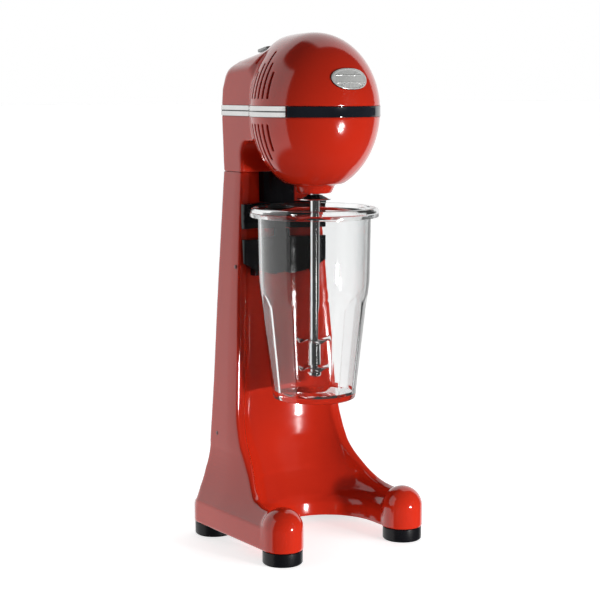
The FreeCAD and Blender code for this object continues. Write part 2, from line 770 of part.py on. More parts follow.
def make_switch_paddle():
    stem = wide_block(3, SWITCH_Y - 1.5, SWITCH_Y + 1.5, SWITCH_Z - 3, SWITCH_Z + 6)
    pin = Part.makeCylinder(1.5, 26, VECTOR(-13, SWITCH_Y, SWITCH_Z - 3), X_DIRECTION)
    handle = wide_block(18, SWITCH_Y - 10, SWITCH_Y + 10, SWITCH_Z + 4.6, SWITCH_Z + 6.6)
    rims = [edge for edge in handle.Edges if edge.BoundBox.ZLength > 1]
    return on_switch_slope(stem.fuse(pin).fuse(handle.makeFillet(5, rims)))


keep(shaped("switch_bezel", make_switch_bezel()), "switch_bezel")
keep(shaped("switch_paddle", make_switch_paddle()), "switch_paddle")

# ---------------------------------------------------------------- cup holder and its switch

def behind_cup(half_x, low, high):
    """A block across the column's front, hollowed for the cup and fitted into the channel."""
    body = wide_block(half_x, size("holder_front"), 66, low, high)
    fronts = [edge for edge in body.Edges if edge.BoundBox.ZLength > 1 and edge.BoundBox.YMax < 40]
    body = body.makeFillet(3, fronts)
    body = body.cut(stand_outer)
    inner = channel_form(0).common(wide_block(FAR, 0, FAR, low - 5, high + 5))
    outside = wide_block(half_x, size("holder_front"), size("lip_y") - 2, low, high)
    body = body.common(inner.fuse(outside))
    return body.cut(upright_rod(size("cup_top_radius + 1"), low - 20, high + 20, 0, axis_y))


LEVER_GAP = wide_block(size("lever_half + 1"), 30, 54.2, 200, 360)


def make_bracket():
    """The ribbed upper bracket, whose ledge carries the cup's rim."""
    low, high = size("bracket_low"), size("bracket_top")
    body = behind_cup(size("holder_half"), low, high)
    body = body.cut(upright_rod(size("rim_radius + 1"), size("rim_bottom"), high + 1, 0, axis_y))
    for slot_low in (low + 6, low + 13.6):
        ring = upright_rod(size("cup_top_radius + 4.5"), slot_low, slot_low + 2, 0, axis_y)
        tips = wide_block(FAR, 20, size("holder_front + 2.5"), slot_low, slot_low + 2)
        if slot_low + 2 < size("rim_bottom"):
            body = body.cut(ring)
        body = body.cut(tips)
    return body.cut(LEVER_GAP)


def make_cradle():
    """The lower cradle that steadies the cup's back, deeper in the middle, with a tab under each end."""
    body = behind_cup(size("holder_half"), size("cradle_low - 15"), size("cradle_top"))
    body = body.cut(below_cradle()).cut(LEVER_GAP)
    for side in (-1, 1):
        tab = Part.makeBox(4, 8, 16, VECTOR(side * 34 - 2, 36, size("cradle_low - 13")))
        body = body.fuse(tab.cut(stand_outer))
    return body


def below_cradle():
    """Cuts the cradle's lower edge to a curve that hangs lowest in the middle."""
    low = size("cradle_low")
    half = size("holder_half") + 1
    arc = Part.Arc(VECTOR(-half, 0, low), VECTOR(0, 0, low - 14), VECTOR(half, 0, low)).toShape()
    edges = [arc] + lines([VECTOR(half, 0, low), VECTOR(half, 0, low - 40), VECTOR(-half, 0, low - 40),
                           VECTOR(-half, 0, low)])
    return prism(edges, VECTOR(0, 120, 0))


keep(shaped("holder_bracket", make_bracket()), "holder_bracket")
keep(shaped("holder_cradle", make_cradle()), "holder_cradle")

pivot_y = size("pivot_y")
pivot_z = size("pivot_z")
STRIP_FRONT = pivot_y - 0.8
STRIP_BACK = pivot_y + 0.4


def make_switch_housing():
    """The rounded black pillar under the neck that hides the lever's pivot."""
    body = wide_block(19, 44, 66, size("bracket_top + 0.6"), column_top - 0.2)
    fronts = [edge for edge in body.Edges if edge.BoundBox.ZLength > 1 and edge.BoundBox.YMax < 45]
    body = body.makeFillet(8, fronts).cut(wide_block(15.5, 47, 70, 300, column_top - 4))
    return body.cut(stand_outer).common(channel_form(0))


def make_lever():
    """A strip that hangs from the pivot, with the paddle that the cup pushes."""
    strip = wide_block(size("lever_half"), STRIP_FRONT, STRIP_BACK, 266, pivot_z)
    paddle = wide_block(size("lever_half"), 42.9, STRIP_FRONT, 266, 296)
    noses = [edge for edge in paddle.Edges if edge.BoundBox.XLength > 1 and edge.BoundBox.YMax < 43]
    paddle = paddle.makeFillet(4, noses)
    sleeve = Part.makeCylinder(2.8, 14, VECTOR(-7, pivot_y, pivot_z), X_DIRECTION)
    bore = Part.makeCylinder(1.55, 20, VECTOR(-10, pivot_y, pivot_z), X_DIRECTION)
    return strip.fuse(paddle).fuse(sleeve).cut(bore).removeSplitter()


def make_lever_spring():
    """The torsion spring beside the lever, wound round the pivot pin."""
    helix = Part.makeHelix(1.1, 4.4, 2.3)
    ring = Part.Wire(Part.makeCircle(0.35, VECTOR(2.3, 0, 0), Y_DIRECTION))
    coil = Part.Wire(helix).makePipeShell([ring], True, True)
    coil.rotate(VECTOR(), Y_DIRECTION, 90)
    coil.translate(VECTOR(8.4, pivot_y, pivot_z))
    return coil


keep(shaped("switch_housing", make_switch_housing()), "switch_housing")
keep(shaped("cup_lever", make_lever()), "cup_lever")
along_x = (Y_DIRECTION, 90)
keep(primitive("Cylinder", "lever_pin_rod", (-15.5, "pivot_y", "pivot_z"), along_x, Radius=1.5, Height=31),
     "lever_pin")
keep(shaped("lever_spring", make_lever_spring()), "lever_spring")
backward = (X_DIRECTION, -90)
button_stem = primitive("Cylinder", "button_stem", (0, STRIP_BACK + 0.1, BUTTON_Z), backward,
                        Radius=1.9, Height=10.9)
keep(button_stem, "microswitch_button")
keep(cut("microswitch", block("microswitch_box", 10, 61, 71, BUTTON_Z - 6, BUTTON_Z + 6),
         primitive("Cylinder", "button_well", (0, 60, BUTTON_Z), backward, Radius=1.95, Height=6)),
     "microswitch")


# ---------------------------------------------------------------- cup

cup_profile = [
    (0, "cup_bottom"), ("cup_bottom_radius - 1.5", "cup_bottom"), ("cup_bottom_radius", "cup_bottom + 1.5"),
    ("cup_shoulder_radius", "cup_shoulder"), ("cup_top_radius", "rim_bottom + 3"),
    ("rim_radius - 1.6", "rim_bottom + 6.4"), ("rim_radius - 1.6", "rim_bottom"),
    ("rim_radius", "rim_bottom"), ("rim_radius", "rim_top - 1"), ("rim_radius - 1", "rim_top"),
    ("cup_top_radius - 0.5", "rim_top"), ("cup_top_radius - cup_wall", "rim_top - 5"),
    ("cup_shoulder_radius - cup_wall", "cup_shoulder"),
    ("cup_bottom_radius - cup_wall + 0.6", "cup_bottom + cup_floor + 3"),
    ("cup_bottom_radius - cup_wall - 2", "cup_bottom + cup_floor"), (0, "cup_bottom + cup_floor"),
]
FLUTE_COUNT = 12
FLUTE_RADIUS = 15
FLUTE_TOP = 236


def cup_radius(height):
    share = (height - size("cup_bottom")) / size("cup_shoulder - cup_bottom")
    return size("cup_bottom_radius") + share * size("cup_shoulder_radius - cup_bottom_radius")


def flute_cutter(number):
    """A rod that leans out more than the cup's side, so its groove fades out at an arched top."""
    low = size("cup_bottom") + 8
    near = cup_radius(low) + FLUTE_RADIUS - 1.1
    far = cup_radius(FLUTE_TOP) + FLUTE_RADIUS
    lean = math.degrees(math.atan2(far - near, FLUTE_TOP - low))
    cutter = primitive("Cylinder", "flute%d" % number, Radius=FLUTE_RADIUS, Height=140)
    angle = 360 / FLUTE_COUNT * (number + 0.5)
    start = near - 20 * math.tan(math.radians(lean))
    turn = FreeCAD.Rotation(Z_DIRECTION, angle).multiply(FreeCAD.Rotation(Y_DIRECTION, lean))
    spot = FreeCAD.Rotation(Z_DIRECTION, angle).multVec(VECTOR(start, 0, low - 20))
    cutter.Placement = FreeCAD.Placement(spot + VECTOR(0, axis_y, 0), turn)
    return cutter


cup_blank = turned("cup", cup_profile)
flutes = group("flutes", [flute_cutter(number) for number in range(FLUTE_COUNT)])
keep(cut("cup_fluted", cup_blank, flutes), "cup")

# ---------------------------------------------------------------- spindle

tube = rod("spindle_rod", "spindle_radius", "spindle_bottom - 3", "spindle_top")
keep(tube, "spindle_shaft")

splash_profile = [("spindle_radius", "splash_z + 2.6"), ("spindle_radius", "splash_z + 1"),
                  ("splash_radius", "splash_z - 2.4"), ("splash_radius", "splash_z - 1.2"),
                  ("spindle_radius + 2", "splash_z + 2.6")]
keep(turned("splash", splash_profile), "splash_disc")


def wavy_disc(radius, height, waves):
    """A thin disc whose edge rises and falls, pressed from one sheet."""
    count = waves * 8
    edge = []
    for step in range(count):
        angle = 2 * math.pi * step / count
        edge.append(VECTOR(radius * math.cos(angle), axis_y + radius * math.sin(angle),
                           height + 2.2 * math.cos(waves * angle)))
    curve = Part.BSplineCurve()
    curve.interpolate(edge, PeriodicFlag=True)
    rim = curve.toShape()
    hub = Part.makeCircle(size("spindle_radius"), VECTOR(0, axis_y, height))
    return Part.makeRuledSurface(hub, rim).extrude(VECTOR(0, 0, 1.1))


keep(shaped("agitator_upper", wavy_disc(size("agitator_radius_high"), size("agitator_z_high"), 5)),
     "agitator_upper")
keep(shaped("agitator_lower", wavy_disc(size("agitator_radius_low"), size("agitator_z_low"), 5)),
     "agitator_lower")
sleeve_profile = [("spindle_radius", "agitator_z_low + 3.5"),
                  ("spindle_radius + 1.3", "agitator_z_low + 3.5"),
                  ("spindle_radius + 1.3", "agitator_z_high - 2.5"),
                  ("spindle_radius", "agitator_z_high - 2.5")]
keep(turned("sleeve", sleeve_profile), "agitator_sleeve")
nut_profile = [(0, "spindle_bottom - 6"), (4, "spindle_bottom - 6"), (6.2, "spindle_bottom - 3.6"),
               (6.2, "spindle_bottom"), ("spindle_radius", "spindle_bottom"),
               ("spindle_radius", "spindle_bottom - 3"), (0, "spindle_bottom - 3")]
keep(turned("nut", nut_profile), "spindle_nut")

# ---------------------------------------------------------------- motor


def bored(name, radius, bore, low, high):
    """A ring on the motor's axis."""
    return turned(name, [(bore, low), (radius, low), (radius, high), (bore, high)])


seal = turned("seal", [("spindle_radius + 0.4", 333), (12, 333), (12, 336.5), (7.6, 339), (7.6, 336.5),
                       ("spindle_radius + 0.4", 335)])
keep(seal, "nose_seal")
keep(turned("coupling", [("spindle_radius", 337.4), (7, 337.4), (7, 354), ("shaft_radius", 354),
                         ("shaft_radius", "spindle_top"), ("spindle_radius", "spindle_top")]),
     "shaft_coupling")
keep(rod("motor_rod", "shaft_radius", "spindle_top", "shaft_top"), "motor_shaft")


def make_fan():
    """A hub with twisted blades under the motor."""
    fan = upright_rod(7, 355, 363, 0, axis_y)
    for number in range(9):
        blade = Part.makeBox(17, 1.2, 8, VECTOR(6, -0.6, -4))
        blade.rotate(VECTOR(), X_DIRECTION, 35)
        blade.rotate(VECTOR(), Z_DIRECTION, 40 * number)
        blade.translate(VECTOR(0, axis_y, 359))
        fan = fan.fuse(blade)
    return fan.cut(upright_rod(size("shaft_radius"), 350, 370, 0, axis_y))


keep(shaped("cooling_fan", make_fan()), "cooling_fan")
keep(bored("bearing_low", "bearing_radius", "shaft_radius", 367, 373), "bearing_lower")
keep(bored("bearing_high", "bearing_radius", "shaft_radius", 450, 456), "bearing_upper")


def make_motor_bracket(low, high, bar_low, half_length):
    """A bar across the motor that holds one bearing, with two legs to the stator."""
    bar = Part.makeBox(2 * half_length, 20, 3, VECTOR(-half_length, axis_y - 10, bar_low))
    legs = []
    for side in (-1, 1):
        legs.append(Part.makeBox(5, 20, high - low, VECTOR(side * 33.5 - 2.5, axis_y - 10, low)))
    boss = upright_rod(12.5, bar_low, bar_low + 8, 0, axis_y)
    body = bar.fuse(boss).multiFuse(legs)
    return body


lower_bracket = make_motor_bracket(366, size("core_low"), 366, 43)
lower_bracket = lower_bracket.cut(upright_rod(size("bearing_radius"), 367, 380, 0, axis_y))
lower_bracket = lower_bracket.cut(upright_rod(4, 360, 380, 0, axis_y))
for side in (-1, 1):
    lower_bracket = lower_bracket.cut(upright_rod(size("screw_radius"), 360, 370, side * 40.5, axis_y))
upper_bracket = make_motor_bracket(size("core_high"), 452, 449, 37.5)
upper_bracket = upper_bracket.cut(upright_rod(size("bearing_radius"), 450, 460, 0, axis_y))
upper_bracket = upper_bracket.cut(upright_rod(4, 440, 460, 0, axis_y))
keep(shaped("motor_bracket_lower", lower_bracket), "motor_bracket_lower")
keep(shaped("motor_bracket_upper", upper_bracket), "motor_bracket_upper")


def pole(low, high, inner, outer, half_width):
    """The two inward poles, in front of and behind the armature."""
    bar = wide_block(half_width, axis_y - outer, axis_y + outer, low, high)
    return bar.cut(upright_rod(inner, low - 1, high + 1, 0, axis_y))


def make_stator():
    low, high = size("core_low"), size("core_high")
    radius = size("stator_radius")
    ring = upright_rod(radius, low, high, 0, axis_y).cut(upright_rod(radius - 8, low, high, 0, axis_y))
    ring = ring.fuse(pole(low, high, size("pole_radius"), radius - 2, 13))
    return ring


def make_field_coils():
    low, high = size("core_low") - 5, size("core_high") + 5
    inner = size("pole_radius") + 2
    coil = pole(low, high, inner, 33, 18)
    hole = pole(size("core_low"), size("core_high"), inner - 5, 40, 13)
    coil = coil.common(upright_rod(35.5, low, high, 0, axis_y))
    return coil.cut(hole)


keep(shaped("stator_core", make_stator()), "stator_core")
keep(shaped("field_coils", make_field_coils()), "field_coils")


def make_armature():
    low, high = size("core_low") + 1, size("core_high") - 1
    radius = size("armature_radius")
    bore = upright_rod(size("shaft_radius"), low, high, 0, axis_y)
    core = upright_rod(radius, low, high, 0, axis_y).cut(bore)
    for number in range(12):
        slot = Part.makeBox(6, 2.4, high - low, VECTOR(radius - 5, -1.2, low))
        slot.rotate(VECTOR(), Z_DIRECTION, 30 * number)
        slot.translate(VECTOR(0, axis_y, 0))
        core = core.cut(slot)
    return core


keep(shaped("armature_core", make_armature()), "armature_core")
coil_ends = [bored("coil_end_low", 17, "shaft_radius", 378.5, "core_low + 1"),
             bored("coil_end_high", 17, "shaft_radius", "core_high - 1", 431)]
keep(group("armature_coils", coil_ends), "armature_coils")
keep(bored("commutator_ring", 9, "shaft_radius", 433, 445), "commutator")

brushes = []
holders = []
for side in (-1, 1):
    name = "left" if side < 0 else "right"
    brush = block("brush_" + name, 8, "axis_y - 2.5", "axis_y + 2.5", 436, 441, side * 17.1)
    brushes.append(brush)
    outer = block("brush_box_" + name, 8.1, "axis_y - 4.5", "axis_y + 4.5", 434, 443, side * 22.9)
    well = block("brush_well_" + name, 14, "axis_y - 2.55", "axis_y + 2.55", 435.95, 441.05, side * 22.9)
    holders.append(cut("brush_holder_" + name, outer, well))
keep(group("brushes", brushes), "carbon_brushes")
keep(group("brush_holders", holders), "brush_holders")


def screws_between(places, low, high, head_low):
    """Upright cap screws: a shank from low to high, with its head above head_low."""
    radius, head = size("screw_radius"), size("screw_head_radius")
    made = []
    for x, y in places:
        screw = upright_rod(radius, low, high, x, y)
        made.append(screw.fuse(upright_rod(head, head_low, head_low + 2.6, x, y)))
    return Part.makeCompound(made)


grommets = []
for side in (-1, 1):
    name = "left" if side < 0 else "right"
    ring = turned("grommet_" + name, [("screw_radius", 362), (4.1, 362), (4.1, 366), ("screw_radius", 366)],
                  side * 40.5)
    grommets.append(ring)
keep(group("grommets", grommets), "motor_grommets")
mount_places = [(-40.5, axis_y), (40.5, axis_y)]
keep(shaped("motor_screws", screws_between(mount_places, 354, 369, 369)), "motor_screws")
keep(shaped("neck_screws", screws_between(DECK_SCREWS, 340, column_top + wall, column_top + wall)),
     "neck_screws")

# ---------------------------------------------------------------- checks and files

document.recompute()
faults = [item.Name for item in document.Objects if "Invalid" in item.State or "Error" in item.State]
for piece in subparts:
    if piece.Shape.isNull() or not piece.Shape.isValid():
        faults.append(piece.Label)
if faults:
    raise RuntimeError("these failed: " + ", ".join(faults))

os.makedirs("parts", exist_ok=True)
for piece in subparts:
    piece.Shape.exportStep("parts/%s.step" % piece.Label)
print("%d sub-parts written" % len(subparts))
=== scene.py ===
import math

import bmesh
import bpy
import numpy as np
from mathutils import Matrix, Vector


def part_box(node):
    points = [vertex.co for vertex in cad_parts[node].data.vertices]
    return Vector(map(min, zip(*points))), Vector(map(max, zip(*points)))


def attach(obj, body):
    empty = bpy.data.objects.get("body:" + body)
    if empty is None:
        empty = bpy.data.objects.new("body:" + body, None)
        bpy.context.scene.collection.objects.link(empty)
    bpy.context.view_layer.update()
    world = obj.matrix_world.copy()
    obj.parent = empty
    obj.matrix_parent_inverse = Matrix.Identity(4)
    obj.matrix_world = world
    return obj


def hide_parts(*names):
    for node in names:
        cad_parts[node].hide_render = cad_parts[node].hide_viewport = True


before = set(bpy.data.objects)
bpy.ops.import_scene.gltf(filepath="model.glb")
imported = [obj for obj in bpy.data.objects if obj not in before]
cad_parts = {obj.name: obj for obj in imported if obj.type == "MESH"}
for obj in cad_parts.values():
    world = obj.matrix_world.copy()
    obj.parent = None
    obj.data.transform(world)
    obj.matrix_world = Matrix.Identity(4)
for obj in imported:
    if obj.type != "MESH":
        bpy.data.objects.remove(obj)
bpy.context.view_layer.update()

# Lengths below are in millimetres, in the frame of the CAD model, and meshes are made in metres.
MM = 0.001


def corners(node):
    """The lowest and highest corner of a CAD node, in millimetres."""
    low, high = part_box(node)
    return np.array(low) / MM, np.array(high) / MM


stand_low, stand_high = corners("stand_shell")
foot_low, foot_high = corners("foot_front_right")
head_low, head_high = corners("head_lower_shell")
upper_high = corners("head_upper_shell")[1]
band_low, band_high = corners("trim_band_rear")
cup_low, cup_high = corners("cup")
spindle_low, spindle_high = corners("spindle_shaft")

# Names that end in HALF are half a width, and X, Y and Z say which way a place is measured.
AXIS_Y = (spindle_low[1] + spindle_high[1]) / 2
FOOT_X = (foot_low[0] + foot_high[0]) / 2
FOOT_Y = -(foot_low[1] + foot_high[1]) / 2
TOE_RADIUS = stand_high[0] - FOOT_X
TOE_TOP = 51.2
SKIRT_LOW = stand_low[2]
SKIRT_TOP = 33.6
COLUMN_TOP = stand_high[2]
COLUMN_HALF = 46
COLUMN_BACK = head_high[1]
BAND_Z = (band_low[2] + band_high[2]) / 2
BALL_RADIUS = AXIS_Y - head_low[1]
BALL_UP = upper_high[2] - BAND_Z
BALL_DOWN = 75
BALL_BEHIND = 37.4
BALL_BACK = AXIS_Y + BALL_BEHIND
BOWL_LOW = 340.5
BOX_HALF = 48.2
NOSE_LOW = head_low[2]
REAR_ROUND = 3
WALL = 3
FAR = 200

# ------------------------------ shapes from distance fields


def polygon_field(points, first, second):
    """Signed distance from a closed outline over a grid of two axes, negative inside."""
    a, b = np.meshgrid(first, second, indexing="ij")
    nearest = np.full(a.shape, 1e12)
    inside = np.zeros(a.shape, bool)
    for (a0, b0), (a1, b1) in zip(points, points[1:] + points[:1]):
        da, db = a1 - a0, b1 - b0
        if da * da + db * db < 1e-12:
            continue
        share = np.clip(((a - a0) * da + (b - b0) * db) / (da * da + db * db), 0, 1)
        nearest = np.minimum(nearest, (a - a0 - share * da) ** 2 + (b - b0 - share * db) ** 2)
        if db:
            inside ^= ((b0 > b) != (b1 > b)) & (a < a0 + (b - b0) * da / db)
    return np.where(inside, -1, 1) * np.sqrt(nearest)


def both(a, b, radius=0.0):
    """Where both fields hold, with their shared edge rounded."""
    if np.isscalar(radius) and not radius:
        return np.maximum(a, b)
    corner = np.hypot(np.maximum(a + radius, 0), np.maximum(b + radius, 0))
    return np.minimum(-radius, np.maximum(a, b)) + corner


def either(a, b, radius=0.0):
    """Where either field holds, with a fillet where they meet."""
    return -both(-a, -b, radius)


def without(a, b, radius=0.0):
    """The first field with the second cut away from it."""
    return both(a, -b, radius)


def evened(field, axes):
    """The field divided by its slope, so that it measures distance near its zero level."""
    slopes = np.gradient(field, *axes)
    slope = np.sqrt(sum(part * part for part in slopes))
    return field / np.clip(slope, 0.4, 4)


def smooth_curve(points, count):
    """A Catmull-Rom curve through points, in so many steps between each two."""
    points = np.array(points, float)
    padded = np.vstack([2 * points[0] - points[1], points, 2 * points[-1] - points[-2]])
    result = []
    for index in range(len(points) - 1):
        p0, p1, p2, p3 = padded[index:index + 4]
        for step in range(count):
            t = step / count
            result.append(0.5 * (2 * p1 + (p2 - p0) * t + (2 * p0 - 5 * p1 + 4 * p2 - p3) * t ** 2
                                 + (3 * p1 - p0 - 3 * p2 + p3) * t ** 3))
    result.append(points[-1])
    return [tuple(point) for point in result]


def sample(values, places):
    """Values on a grid read between its points, by their places in grid steps."""
    base = np.clip(np.floor(places).astype(int), 0, np.array(values.shape[:3]) - 2)
    part = places - base
    total = 0
    for corner in np.ndindex(2, 2, 2):
        weight = np.ones(len(places))
        index = []
        for axis in range(3):
            weight = weight * (part[:, axis] if corner[axis] else 1 - part[:, axis])
            index.append(base[:, axis] + corner[axis])
        value = values[tuple(index)]
        total = total + (weight[:, None] if value.ndim > 1 else weight) * value
    return total


def surface_net(field, axes):
    """A closed quad mesh on the zero level of a field, with the field's own normals."""
    inside = field < 0
    shape = np.array(field.shape)
    count = np.zeros(shape - 1, np.int8)
    for di, dj, dk in np.ndindex(2, 2, 2):
        count += inside[di:shape[0] - 1 + di, dj:shape[1] - 1 + dj, dk:shape[2] - 1 + dk]
    mixed = (count > 0) & (count < 8)
    numbers = np.full(shape - 1, -1, np.int64)
    cells = np.argwhere(mixed)
    numbers[mixed] = np.arange(len(cells))
    total = np.zeros((len(cells), 3))
    crossings = np.zeros(len(cells))
    for axis in range(3):
        others = [other for other in range(3) if other != axis]
        for first, second in np.ndindex(2, 2):
            start = np.zeros(3, int)
            start[others[0]], start[others[1]] = first, second
            end = start.copy()
            end[axis] = 1
            low = field[tuple((cells + start).T)]
            high = field[tuple((cells + end).T)]
            crossed = (low < 0) != (high < 0)
            share = low[crossed] / (low[crossed] - high[crossed])
            total[crossed] += start + share[:, None] * (end - start)
            crossings[crossed] += 1
    places = cells + total / crossings[:, None]
    slopes = np.stack(np.gradient(field, *axes), axis=-1)

    def position(spots):
        return np.stack([np.interp(spots[:, axis], np.arange(shape[axis]), axes[axis])
                         for axis in range(3)], axis=1)

    def grid_place(spots):
        return np.stack([np.interp(spots[:, axis], axes[axis], np.arange(shape[axis]))
                         for axis in range(3)], axis=1)

    points = position(places)
    cell_size = min(np.diff(axis).min() for axis in axes)
    for _ in range(2):
        spots = grid_place(points)
        slope = sample(slopes, spots)
        size = np.maximum((slope * slope).sum(axis=1), 0.05)
        move = -(sample(field, spots) / size)[:, None] * slope
        points = points + np.clip(move, -0.3 * cell_size, 0.3 * cell_size)
    normals = sample(slopes, grid_place(points))
    normals /= np.maximum(np.linalg.norm(normals, axis=1), 1e-9)[:, None]
    faces = []
    for axis in range(3):
        u, v = [(1, 2), (2, 0), (0, 1)][axis]
        first = np.take(inside, range(shape[axis] - 1), axis)
        second = np.take(inside, range(1, shape[axis]), axis)
        changed = np.argwhere(first != second)
        changed = changed[(changed[:, u] > 0) & (changed[:, v] > 0)]
        changed = changed[(changed[:, u] < shape[u] - 1) & (changed[:, v] < shape[v] - 1)]
        ring = []
        for back_u, back_v in ((1, 1), (0, 1), (0, 0), (1, 0)):
            cell = changed.copy()
            cell[:, u] -= back_u
            cell[:, v] -= back_v
            ring.append(numbers[tuple(cell.T)])
        ring = np.stack(ring, axis=1)
        outward = first[tuple(changed.T)]
        ring[~outward] = ring[~outward][:, ::-1]
        faces.append(ring)
    return points, np.vstack(faces), normals


def new_object(name, points, faces, normals=None):
    """A smooth mesh object from points in millimetres."""
    mesh = bpy.data.meshes.new(name)
    points = np.asarray(points, np.float64) * MM
    if isinstance(faces, np.ndarray):
        mesh.vertices.add(len(points))
        mesh.vertices.foreach_set("co", points.astype(np.float32).ravel())
        corners_each = faces.shape[1]
        mesh.loops.add(faces.size)
        mesh.loops.foreach_set("vertex_index", faces.astype(np.int32).ravel())
        mesh.polygons.add(len(faces))
        mesh.polygons.foreach_set("loop_start", np.arange(0, faces.size, corners_each, dtype=np.int32))
        mesh.update(calc_edges=True)
    else:
        mesh.from_pydata([tuple(point) for point in points], [], faces)
    mesh.validate()
    mesh.polygons.foreach_set("use_smooth", np.ones(len(mesh.polygons), bool))
    if normals is not None:
        mesh.normals_split_custom_set_from_vertices(normals.astype(np.float32))
    piece = bpy.data.objects.new(name, mesh)
    bpy.context.scene.collection.objects.link(piece)
    return piece


def recalculated(piece, sharp=35):
    """The piece with its faces turned outward, and its edges sharp past an angle in degrees."""
    clean = bmesh.new()
    clean.from_mesh(piece.data)
    bmesh.ops.recalc_face_normals(clean, faces=clean.faces)
    clean.to_mesh(piece.data)
    clean.free()
    piece.data.set_sharp_from_angle(angle=math.radians(sharp))
    return piece


def show(piece, body, finish, slot, *nodes):
    """Gives a piece its body, its material, and the CAD nodes that it stands for; the slot argument is not
    used.
    """
    piece.data.materials.append(finish)
    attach(piece, body)
    if nodes:
        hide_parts(*nodes)
    return piece


# ------------------------------ materials


class Finish:
    """Builds a node material step by step round one Principled shader."""

    def __init__(self, name):
        self.material = bpy.data.materials.new(name)
        self.material.use_nodes = True
        self.tree = self.material.node_tree
        self.shader = self.tree.nodes["Principled BSDF"]
        self.place = self.node("ShaderNodeTexCoord").outputs["Object"]

    def node(self, kind, **inputs):
        """A new node with some of its inputs or settings given."""
        made = self.tree.nodes.new(kind)
        for key, value in inputs.items():
            if key in made.inputs:
                made.inputs[key].default_value = value
            else:
                setattr(made, key, value)
        return made

    def link(self, output, target):
        self.tree.links.new(output, target)

    def set(self, **values):
        """Sets the shader's inputs, with _ for each space in a name."""
        for key, value in values.items():
            self.shader.inputs[key.replace("_", " ")].default_value = value
        return self

    def scaled(self, scale):
        """The place on the piece, stretched along its axes."""
        mapping = self.node("ShaderNodeMapping")
        self.link(self.place, mapping.inputs["Vector"])
        mapping.inputs["Scale"].default_value = scale
        return mapping.outputs["Vector"]

    def noise(self, scale, detail=3.0, stretch=(1, 1, 1)):
        noise = self.node("ShaderNodeTexNoise")
        self.link(self.scaled(stretch), noise.inputs["Vector"])
        noise.inputs["Scale"].default_value = scale
        noise.inputs["Detail"].default_value = detail
        return noise.outputs["Fac"]

    def spread(self, value, low, high, to_low, to_high):
        """A value moved from one range to another."""
        spread = self.node("ShaderNodeMapRange")
        self.link(value, spread.inputs["Value"])
        limits = {"From Min": low, "From Max": high, "To Min": to_low, "To Max": to_high}
        for name, number in limits.items():
            spread.inputs[name].default_value = number
        return spread.outputs["Result"]

    def mixed(self, factor, first, second):
        """A colour between two, by a factor."""
        mix = self.node("ShaderNodeMix", data_type="RGBA")
        self.link(factor, mix.inputs["Factor"])
        for socket, colour in ((mix.inputs[6], first), (mix.inputs[7], second)):
            if isinstance(colour, tuple):
                socket.default_value = (*colour, 1)
            else:
                self.link(colour, socket)
        return mix.outputs[2]

    def colour(self, output):
        self.link(output, self.shader.inputs["Base Color"])
        return self

    def rough(self, value, low, high):
        """Roughness between two limits, by a noise."""
        self.link(self.spread(value, 0.3, 0.7, low, high), self.shader.inputs["Roughness"])
        return self

    def bump(self, height, strength, distance):
        """Adds a bump over any that is there already."""
        bump = self.node("ShaderNodeBump")
        bump.inputs["Strength"].default_value = strength
        bump.inputs["Distance"].default_value = distance
        self.link(height, bump.inputs["Height"])
        old = self.shader.inputs["Normal"].links
        if old:
            self.link(old[0].from_socket, bump.inputs["Normal"])
        self.link(bump.outputs["Normal"], self.shader.inputs["Normal"])
        return self


def red_finish(name, deep, bright, low=0.07, high=0.15):
    """Glossy red moulding: a little flow in the colour, orange peel and faint handling marks."""
    finish = Finish(name)
    finish.set(IOR=1.5, Specular_IOR_Level=0.5, Coat_Weight=0.5, Coat_Roughness=0.03)
    flow = finish.noise(9, 4, (1, 1, 0.5))
    colour = finish.mixed(finish.spread(flow, 0.3, 0.7, 0, 1), deep, bright)
    dust = finish.spread(finish.noise(2600, 2), 0.72, 0.8, 0, 0.25)
    finish.colour(finish.mixed(dust, colour, (0.62, 0.16, 0.12)))
    finish.rough(finish.noise(38, 5), low, high)
    finish.bump(finish.noise(260, 2), 0.05, 0.0004)
    finish.bump(finish.noise(28, 2), 0.06, 0.0015)
    return finish.material


def plain_finish(name, deep, bright, metal, low, high, grain=600, depth=0.0001, strength=0.3,
                 stretch=(1, 1, 1), **settings):
    """A finish with a fine grain, and colour and gloss that vary a little over it."""
    finish = Finish(name)
    finish.set(Metallic=metal, **settings)
    flow = finish.noise(24, 4)
    finish.colour(finish.mixed(finish.spread(flow, 0.3, 0.7, 0, 1), deep, bright))
    finish.rough(finish.noise(60, 5, stretch), low, high)
    finish.bump(finish.noise(grain, 3, stretch), strength, depth)
    return finish.material


RED = red_finish("red_gloss_moulding", (0.40, 0.014, 0.004), (0.47, 0.021, 0.007))
DARK_RED = red_finish("red_shadowed_moulding", (0.10, 0.006, 0.004), (0.14, 0.009, 0.006), 0.3, 0.45)
BLACK = plain_finish("black_satin_plastic", (0.003, 0.003, 0.004), (0.006, 0.006, 0.008), 0, 0.16, 0.28,
                     grain=1500, depth=0.00005, strength=0.5, Specular_IOR_Level=0.32)
GLOSS_BLACK = plain_finish("black_gloss_strip", (0.004, 0.005, 0.008), (0.009, 0.011, 0.016), 0, 0.08, 0.18,
                           grain=900, depth=0.00004, strength=0.3, Coat_Weight=0.5)
RUBBER = plain_finish("black_foot_rubber", (0.003, 0.003, 0.004), (0.007, 0.007, 0.009), 0, 0.22, 0.36,
                      grain=1300, depth=0.00012, strength=0.6, Specular_IOR_Level=0.3)
CHROME = plain_finish("bright_chrome", (0.80, 0.80, 0.80), (0.88, 0.88, 0.88), 1, 0.035, 0.1,
                      grain=320, depth=0.00004, strength=0.25)
BADGE_METAL = plain_finish("satin_badge_metal", (0.50, 0.51, 0.50), (0.62, 0.62, 0.61), 0.35, 0.22, 0.36,
                           grain=700, depth=0.00004, strength=0.3)
